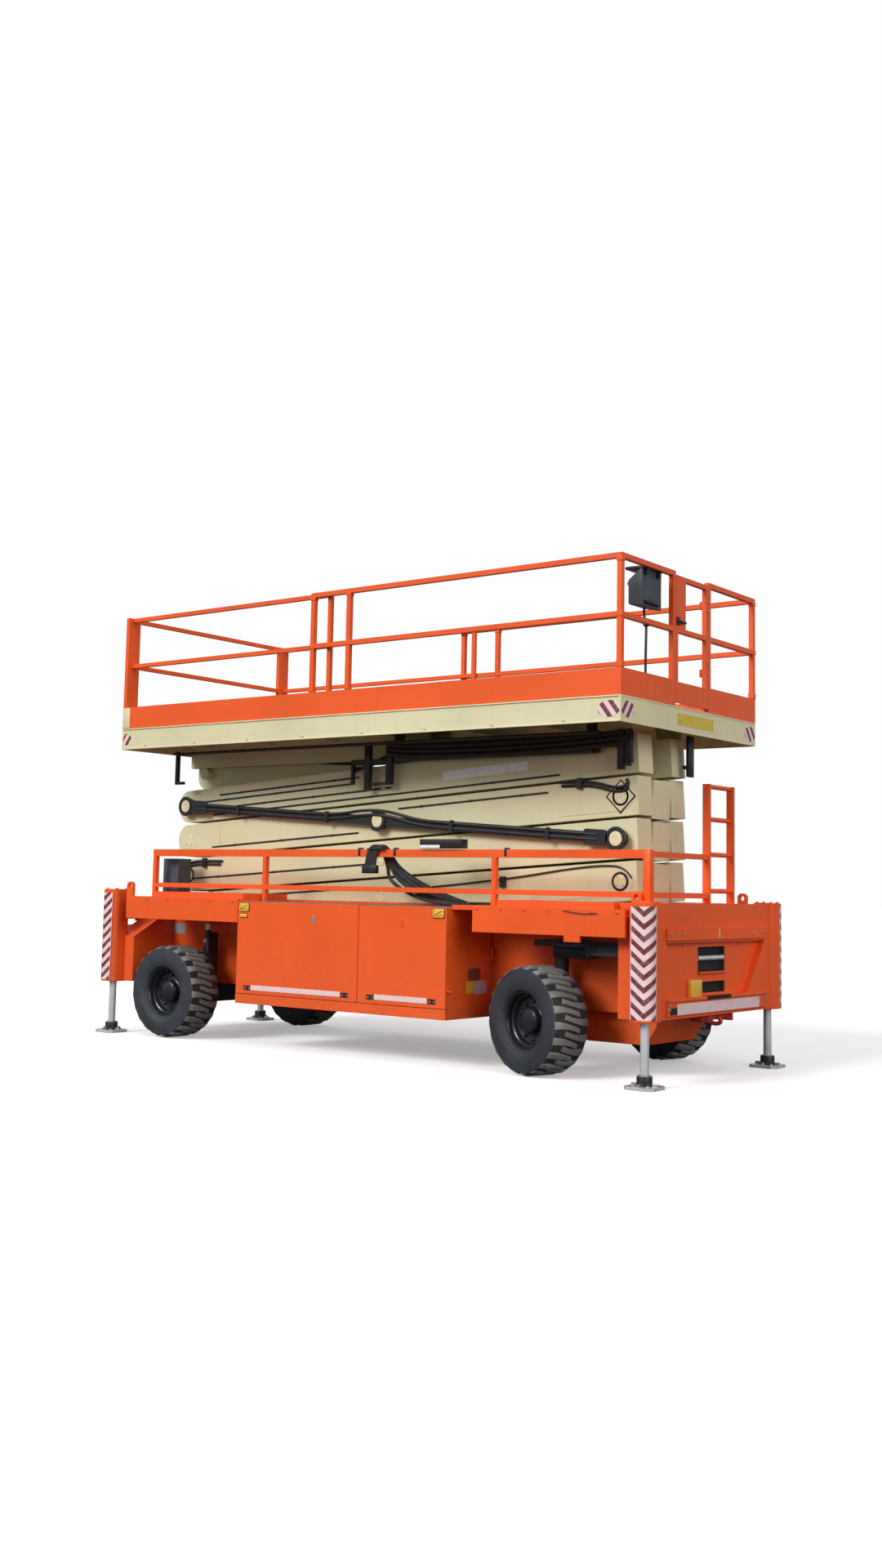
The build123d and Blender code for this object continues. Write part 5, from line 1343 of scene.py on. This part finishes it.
class LIFT_OT_platform(bpy.types.Operator):
    """Hangers, a black sheet of painted shade and hoses under the platform, tread floor, lips, gate furniture and
    rail collars
    """

    bl_idname = "lift.platform"
    bl_label = "Platform trim"

    rail_middle, foot_middle = 1.178, 1.160
    lip_heights = (0.004, 0.206)

    def hangers_and_shade_sheet(self, low):
        """Black hanger posts and ties under the platform's floor, and a black sheet of painted shade behind the
        hose tray.
        """
        top = low.z + 0.02
        fit("hangers_and_shade_sheet", "platform", "black_enamel",
            block("post", (-0.300, -0.520, 2.440), (-0.232, -0.470, top), 0.006),
            block("post", (-0.035, -0.520, 2.480), (0.036, -0.470, top), 0.006),
            block("post", (-0.470, -0.515, 2.500), (-0.440, -0.475, 2.700), 0.005),
            block("tie", (-0.470, -0.512, 2.680), (0.036, -0.478, 2.730), 0.006),
            block("tie", (-0.300, -0.512, 2.480), (0.036, -0.478, 2.510), 0.006),
            # Black sheet of painted shade filling the window behind the hose tray, where only shade falls.
            block("back", (0.040, -0.470, 2.700), (2.300, -0.455, top), 0.003),
            block("post", (2.500, -0.520, 2.547), (2.560, -0.470, top), 0.006),
            block("post", (2.580, -0.520, 2.600), (2.636, -0.470, top), 0.006),
            block("arm", (2.220, -0.515, 2.780), (2.640, -0.472, 2.840), 0.008),
            block("rear", (-2.812, -0.620, 2.560), (-2.772, -0.580, top), 0.006),
            block("rear", (-2.812, -0.620, 2.545), (-2.690, -0.580, 2.575), 0.006),
            block("end", (2.735, 0.256, 2.530), (2.765, 0.356, top), 0.006),
            block("end", (2.690, 0.270, 2.600), (2.765, 0.342, 2.632), 0.006))

    def hoses(self):
        """Four thin and three thick hoses along the hose tray, and three lines under the floor."""
        lines = []
        for row in range(4):
            y, z = -0.492 + 0.016 * row, 2.812 + 0.012 * (row % 2)
            points = ((-0.46, y, 2.60 + 0.02 * row), (-0.36, y - 0.01, 2.64), (-0.20, y, 2.70), (0.10, y, z),
                      (0.90, y, z), (1.70, y, z + 0.004), (2.24, y, z), (2.44, y, 2.79),
                      (2.56, y - 0.01, 2.68), (2.60, y - 0.02, 2.58))
            lines.append(hose_run("line", points, 0.013, 8))
        for row in range(3):
            z = 2.732 + 0.046 * row
            points = ((-0.02, -0.500, z + 0.05), (0.04, -0.530, z + 0.03), (0.30, -0.534, z + 0.004),
                      (1.10, -0.534, z - 0.012), (1.90, -0.534, z + 0.002), (2.25, -0.532, z + 0.02),
                      (2.42, -0.530, z + 0.03), (2.53, -0.500, z + 0.035))
            lines.append(hose_run("thick", points, 0.025, 12))
        for row in range(3):
            y = -0.640 - 0.035 * row
            points = ((-2.75, y, 2.855), (-1.8, y, 2.858), (-0.9, y - 0.02, 2.854), (0.2, y, 2.857),
                      (1.4, y - 0.03, 2.855), (2.4, y + 0.05, 2.857))
            lines.append(hose_run("line", points, 0.012, 8))
        fit("platform_hoses", "platform", "hose_rubber", *lines)

    def floor(self, low, high):
        """Tread plate sheets on the platform's floor and on the roll-out deck."""
        ext_low, ext_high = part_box("extension")

        def sheet(first, last, inset, bottom, top):
            corners = (first, low.y + inset, bottom), (last, high.y - inset, top)
            return panel("sheet", *corners, (0, 0, 1), 0.015, 0.001, 0.001)

        top = ext_low.z
        spans = ((ext_high.x + 0.02, 1.30), (1.31, high.x - 0.08))
        fit("floor_sheets", "platform", "tread_plate",
            *(sheet(first, last, 0.05, top - 0.002, top + 0.003) for first, last in spans))
        plate_top = top + 0.020
        fit("roll_out_sheet", "extension", "tread_plate",
            sheet(ext_low.x + 0.10, ext_high.x - 0.07, 0.12, plate_top - 0.001, plate_top + 0.003))

    def bands(self, low, high):
        """Folded lips along the cream band, and its bolts."""
        lips, heads = [], []
        heights = [low.z + rise for rise in self.lip_heights]
        for sign in SIDES.values():
            edge = sign * high.y
            for z in heights:
                lips.append(block("lip", (low.x + 0.02, edge - 0.010, z - 0.006),
                                  (high.x - 0.02, edge + 0.004, z + 0.006), 0.002))
            for step in range(8):
                spot = (low.x + 0.35 + step * 0.72, edge - 0.002, low.z + 0.030)
                heads.append(facing_frame(spot, (0, sign, 0)))
        for z in heights:
            lips.append(block("lip", (high.x - 0.010, low.y + 0.02, z - 0.006),
                              (high.x + 0.004, high.y - 0.02, z + 0.006), 0.002))
        fit("band_lips", "platform", "cream_enamel", *lips)
        dress(bolt_heads("band_bolts", heads, sizes().bolt, 0.008), "platform", "cream_enamel")

    def collars(self):
        """Sleeves and caps where the rail posts meet the toe boards and the rails."""
        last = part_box("platform_rail_near")[1].x - 0.022
        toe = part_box("extension")[0].z + TOE_TALL
        for side, sign in SIDES.items():
            pieces, y = [], sign * self.rail_middle
            for x in (-0.395, 0.043, last):
                for z, tall in ((toe + 0.004, 0.05), (3.716, 0.044), (4.17, 0.035)):
                    low, high = (x - 0.028, y - 0.026, z), (x + 0.028, y + 0.026, z + tall)
                    pieces.append(block("collar", low, high, 0.004, 1))
            fit(f"rail_collars_{side}", "platform", "orange_enamel", *pieces)

    def gate(self):
        """Latch, lever and hinge bolts of the gate."""
        low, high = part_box("gate")
        x, y = high.x, low.y
        fit("gate_latch", "gate", "black_enamel",
            block("latch", (x - 0.046, y + 0.004, 3.78), (x + 0.014, y + 0.060, 3.85), 0.006),
            block("lever", (x + 0.008, y + 0.018, 3.80), (x + 0.024, y + 0.150, 3.822), 0.006))
        heads = [facing_frame((x, high.y - 0.018, z), (1, 0, 0)) for z in (3.42, 3.50, 3.98, 4.06)]
        dress(bolt_heads("gate_bolts", heads, sizes().bolt, 0.008), "gate", "pin_steel")

    def roll_out(self):
        """Cream corner feet on the roll-out deck's end."""
        x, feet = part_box("extension")[0].x, []
        for sign in SIDES.values():
            y = sign * self.foot_middle
            feet.append(block("foot", (x - 0.004, y - 0.044, 3.092), (x + 0.104, y + 0.044, 3.300), 0.008))
        fit("roll_out_feet", "extension", "cream_enamel", *feet)

    def execute(self, context):
        low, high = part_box("platform_deck")
        low.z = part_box("extension")[0].z - BAND_TALL
        self.hangers_and_shade_sheet(low)
        self.hoses()
        self.floor(low, high)
        self.bands(low, high)
        self.collars()
        self.gate()
        self.roll_out()
        return {"FINISHED"}


class LIFT_OT_console(bpy.types.Operator):
    """Control station: sloped housing, hood, joystick, keys and cable"""

    bl_idname = "lift.console"
    bl_label = "Control station"

    stick = ((0.0, 0.115), (0.014, 0.112), (0.020, 0.098), (0.019, 0.080), (0.011, 0.066), (0.010, 0.040),
             (0.030, 0.018), (0.036, 0.0), (0.0, 0.0))
    stop = ((0.0, 0.030), (0.016, 0.028), (0.022, 0.020), (0.022, 0.013), (0.012, 0.011), (0.012, 0.0),
            (0.0, 0.0))
    clip_heights = (3.72, 3.098)

    def housing(self, low, high):
        """Block drawn in towards the user, with a sunk field on both faces."""
        body = start("console", bpy.ops.mesh.primitive_cube_add, size=1, location=(low + high) / 2)
        body.scale = high - low
        settle(body)
        pick_faces(body, lambda face: face.normal.x < -0.9)
        bpy.ops.transform.resize(value=(1, 0.86, 0.62))
        bpy.ops.transform.translate(value=(0.0, 0.0, -0.035))
        bpy.ops.mesh.inset(thickness=0.022, depth=0)
        bpy.ops.transform.translate(value=(0.010, 0, 0))
        close_edit()
        pick_faces(body, lambda face: face.normal.x > 0.9)
        bpy.ops.mesh.inset(thickness=0.035, depth=0)
        bpy.ops.transform.translate(value=(-0.012, 0, 0))
        close_edit()
        soften(body, 0.012, 3, 30)
        dress(body, "platform", "console_plastic")
        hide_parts("control_box")

    def hood(self, low, high):
        """Hood over the housing, with the rack and hooks that hang it on the end rail."""
        hooks = [block("hook", (high.x - 0.01, y, high.z - 0.06),
                       (high.x + 0.024, y + 0.03, high.z + 0.012), 0.004)
                 for y in (low.y + 0.05, high.y - 0.08)]
        fit("console_hood", "platform", "black_enamel",
            panel("hood", (low.x - 0.02, low.y + 0.01, high.z - 0.012),
                  (high.x + 0.01, high.y - 0.01, high.z + 0.010), (0, 0, 1), 0.02, 0.004),
            block("rack", (high.x - 0.004, low.y + 0.05, low.z + 0.03),
                  (high.x + 0.022, high.y - 0.05, low.z + 0.06), 0.004), *hooks)

    def controls(self, low, middle):
        """Joystick, two rows of keys and the stop button."""
        tilt = facing_frame((low.x + 0.02, middle.y + 0.05, middle.z - 0.01), (-0.9, 0, 0.45))
        keys = copies(turned("stick", self.stick, 24), [tilt])
        for row in range(2):
            for step in range(4):
                place = (low.x + 0.006, middle.y - 0.095 + 0.032 * step, middle.z - 0.06 + row * 0.045)
                keys.append(plate_on("key", place, (-1, 0, 0), 0.022, 0.026, 0.008, corner=0.005))
        fit("console_keys", "platform", "hose_rubber", *keys, slot="control_plastic")
        place = facing_frame((low.x + 0.008, middle.y - 0.10, middle.z + 0.045), (-1, 0, 0))
        button = copies(turned("stop", self.stop, 24), [place])
        fit("console_stop", "platform", "hook_red", *button, slot="control_plastic")

    def cable(self, low, middle, drop):
        """Cable from the housing's underside to the floor, with two clips."""
        x, y, z = middle.x, middle.y, low.z
        points = ((x, y, z + 0.01), (x, y, z - 0.05), (x + 0.03, y - 0.03, z - 0.11), (drop, y - 0.07, 3.72),
                  (drop, y - 0.08, 3.45), (drop, y - 0.08, 3.20), (drop, y - 0.08, 3.086))
        dress(hose_run("console_cable", points, 0.011, 10), "platform", "hose_rubber")
        clips = [block("clip", (drop - 0.016, y - 0.100, height - 0.012),
                       (drop + 0.022, y - 0.056, height + 0.012), 0.004)
                 for height in self.clip_heights]
        fit("console_clips", "platform", "black_enamel", *clips)

    def execute(self, context):
        low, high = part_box("control_box")
        middle = (low + high) / 2
        self.housing(low, high)
        self.hood(low, high)
        self.controls(low, middle)
        self.cable(low, middle, high.x - 0.012)
        return {"FINISHED"}


class LIFT_OT_stage(bpy.types.Operator):
    """Pale floor, soft lamps and the camera"""

    bl_idname = "lift.stage"
    bl_label = "Stage"

    photo_height = 1920
    focal_pixels = 1881.7
    centre_row = 895.8
    stand = Vector((9.198, -11.698, 1.519))
    yaw = math.radians(37.5)
    pitch = math.radians(5.821)
    roll = math.radians(1.129)

    def camera(self):
        """Camera at the photograph's place and angle."""
        run, rise = math.cos(self.pitch), math.sin(self.pitch)
        ahead = Vector((-math.sin(self.yaw) * run, math.cos(self.yaw) * run, rise))
        right = Vector((math.cos(self.yaw), math.sin(self.yaw), 0))
        up = right.cross(ahead)
        level = right * math.cos(self.roll) + up * math.sin(self.roll)
        upright = up * math.cos(self.roll) - right * math.sin(self.roll)
        eye = bpy.data.cameras.new("photo_camera")
        eye.sensor_fit = "VERTICAL"
        eye.sensor_height = 36.0
        eye.lens = self.focal_pixels / self.photo_height * eye.sensor_height
        eye.shift_y = (self.centre_row - self.photo_height / 2) / self.photo_height
        eye.clip_end = 200
        stand = bpy.data.objects.new("photo_camera", eye)
        turn = Matrix((level, upright, -ahead)).transposed().to_4x4()
        stand.matrix_world = Matrix.Translation(self.stand) @ turn
        bpy.context.scene.collection.objects.link(stand)
        bpy.context.scene.camera = stand

    def sun(self, name, place, strength, spread):
        """Soft sun shining from a place towards the middle."""
        light = bpy.data.lights.new(name, "SUN")
        light.energy = strength
        light.angle = math.radians(spread)
        stand = bpy.data.objects.new(name, light)
        stand.matrix_world = facing_frame(place, place, (0.1, 0.2, 1))
        bpy.context.scene.collection.objects.link(stand)

    def floor(self):
        """Wide floor, white to the eye but for the shadow and grey as a source of bounced light."""
        piece = start("floor", bpy.ops.mesh.primitive_grid_add, x_subdivisions=12, y_subdivisions=12,
                      size=900)
        piece.location.z = -0.002
        settle(piece)
        finish = Finish("pale_floor")
        seen = finish.node("ShaderNodeLightPath", output="Is Camera Ray")
        grain = finish.noise(0.4, 4.0)
        base = finish.mix(grain.between(0.3, 0.7), (0.93, 0.93, 0.93), (0.96, 0.96, 0.96))
        base = finish.mix(seen, (0.14, 0.135, 0.13), base)
        lift = finish.mix(seen, (0.0, 0.0, 0.0), (0.34, 0.34, 0.34))
        piece.data.materials.append(finish.surface(
            Base_Color=base, Roughness=0.9 + grain * 0.05, Specular_IOR_Level=0.0, Emission_Color=lift,
            Emission_Strength=1.0,
        ))

    def world(self):
        """White to the eye and through glass, and softer as light and in reflections."""
        sky = bpy.data.worlds.new("studio")
        sky.use_nodes = True
        nodes, links = sky.node_tree.nodes, sky.node_tree.links
        nodes.clear()
        ray = nodes.new("ShaderNodeLightPath")
        seen = nodes.new("ShaderNodeMath")
        seen.operation = "MAXIMUM"
        links.new(ray.outputs["Is Camera Ray"], seen.inputs[0])
        links.new(ray.outputs["Is Transmission Ray"], seen.inputs[1])
        strength = nodes.new("ShaderNodeMapRange")
        links.new(seen.outputs[0], strength.inputs["Value"])
        strength.inputs["To Min"].default_value = 0.46
        strength.inputs["To Max"].default_value = 1.0
        back = nodes.new("ShaderNodeBackground")
        back.inputs["Color"].default_value = (1, 1, 1, 1)
        links.new(strength.outputs[0], back.inputs["Strength"])
        end = nodes.new("ShaderNodeOutputWorld")
        links.new(back.outputs[0], end.inputs["Surface"])
        bpy.context.scene.world = sky

    def execute(self, context):
        context.scene.view_settings.view_transform = "Standard"
        self.camera()
        self.floor()
        self.world()
        self.sun("key", (-4.0, -14.0, 9.0), 2.2, 24)
        self.sun("fill", (14.0, -5.0, 6.0), 1.10, 40)
        return {"FINISHED"}


class LIFT_PT_panel(bpy.types.Panel):
    """Lists the settings and the steps"""

    bl_idname = "LIFT_PT_panel"
    bl_label = "Scissor lift"
    bl_space_type = "VIEW_3D"
    bl_region_type = "UI"
    bl_category = "Lift"

    def draw(self, context):
        for settings in (context.scene.lift_colours, context.scene.lift_sizes):
            for key in settings.__annotations__:
                self.layout.prop(settings, key)
        for step in STEPS:
            self.layout.operator(step.bl_idname)


GROUPS = (LiftColours, LiftSizes)
STEPS = (
    LIFT_OT_finishes,
    LIFT_OT_wheels,
    LIFT_OT_arms,
    LIFT_OT_hoses,
    LIFT_OT_doors,
    LIFT_OT_tapes,
    LIFT_OT_end_beams,
    LIFT_OT_legs,
    LIFT_OT_deck,
    LIFT_OT_platform,
    LIFT_OT_console,
    LIFT_OT_stage,
)


def register():
    """Registers the settings, the steps and the panel."""
    for part in (*GROUPS, *STEPS, LIFT_PT_panel):
        bpy.utils.register_class(part)
    bpy.types.Scene.lift_colours = bpy.props.PointerProperty(type=LiftColours)
    bpy.types.Scene.lift_sizes = bpy.props.PointerProperty(type=LiftSizes)


def unregister():
    """Takes them away again."""
    del bpy.types.Scene.lift_sizes
    del bpy.types.Scene.lift_colours
    for part in reversed((*GROUPS, *STEPS, LIFT_PT_panel)):
        bpy.utils.unregister_class(part)


def main():
    """Runs every step."""
    register()
    for step in STEPS:
        group, name = step.bl_idname.split(".")
        getattr(getattr(bpy.ops, group), name)()


if __name__ == "__main__":
    main()
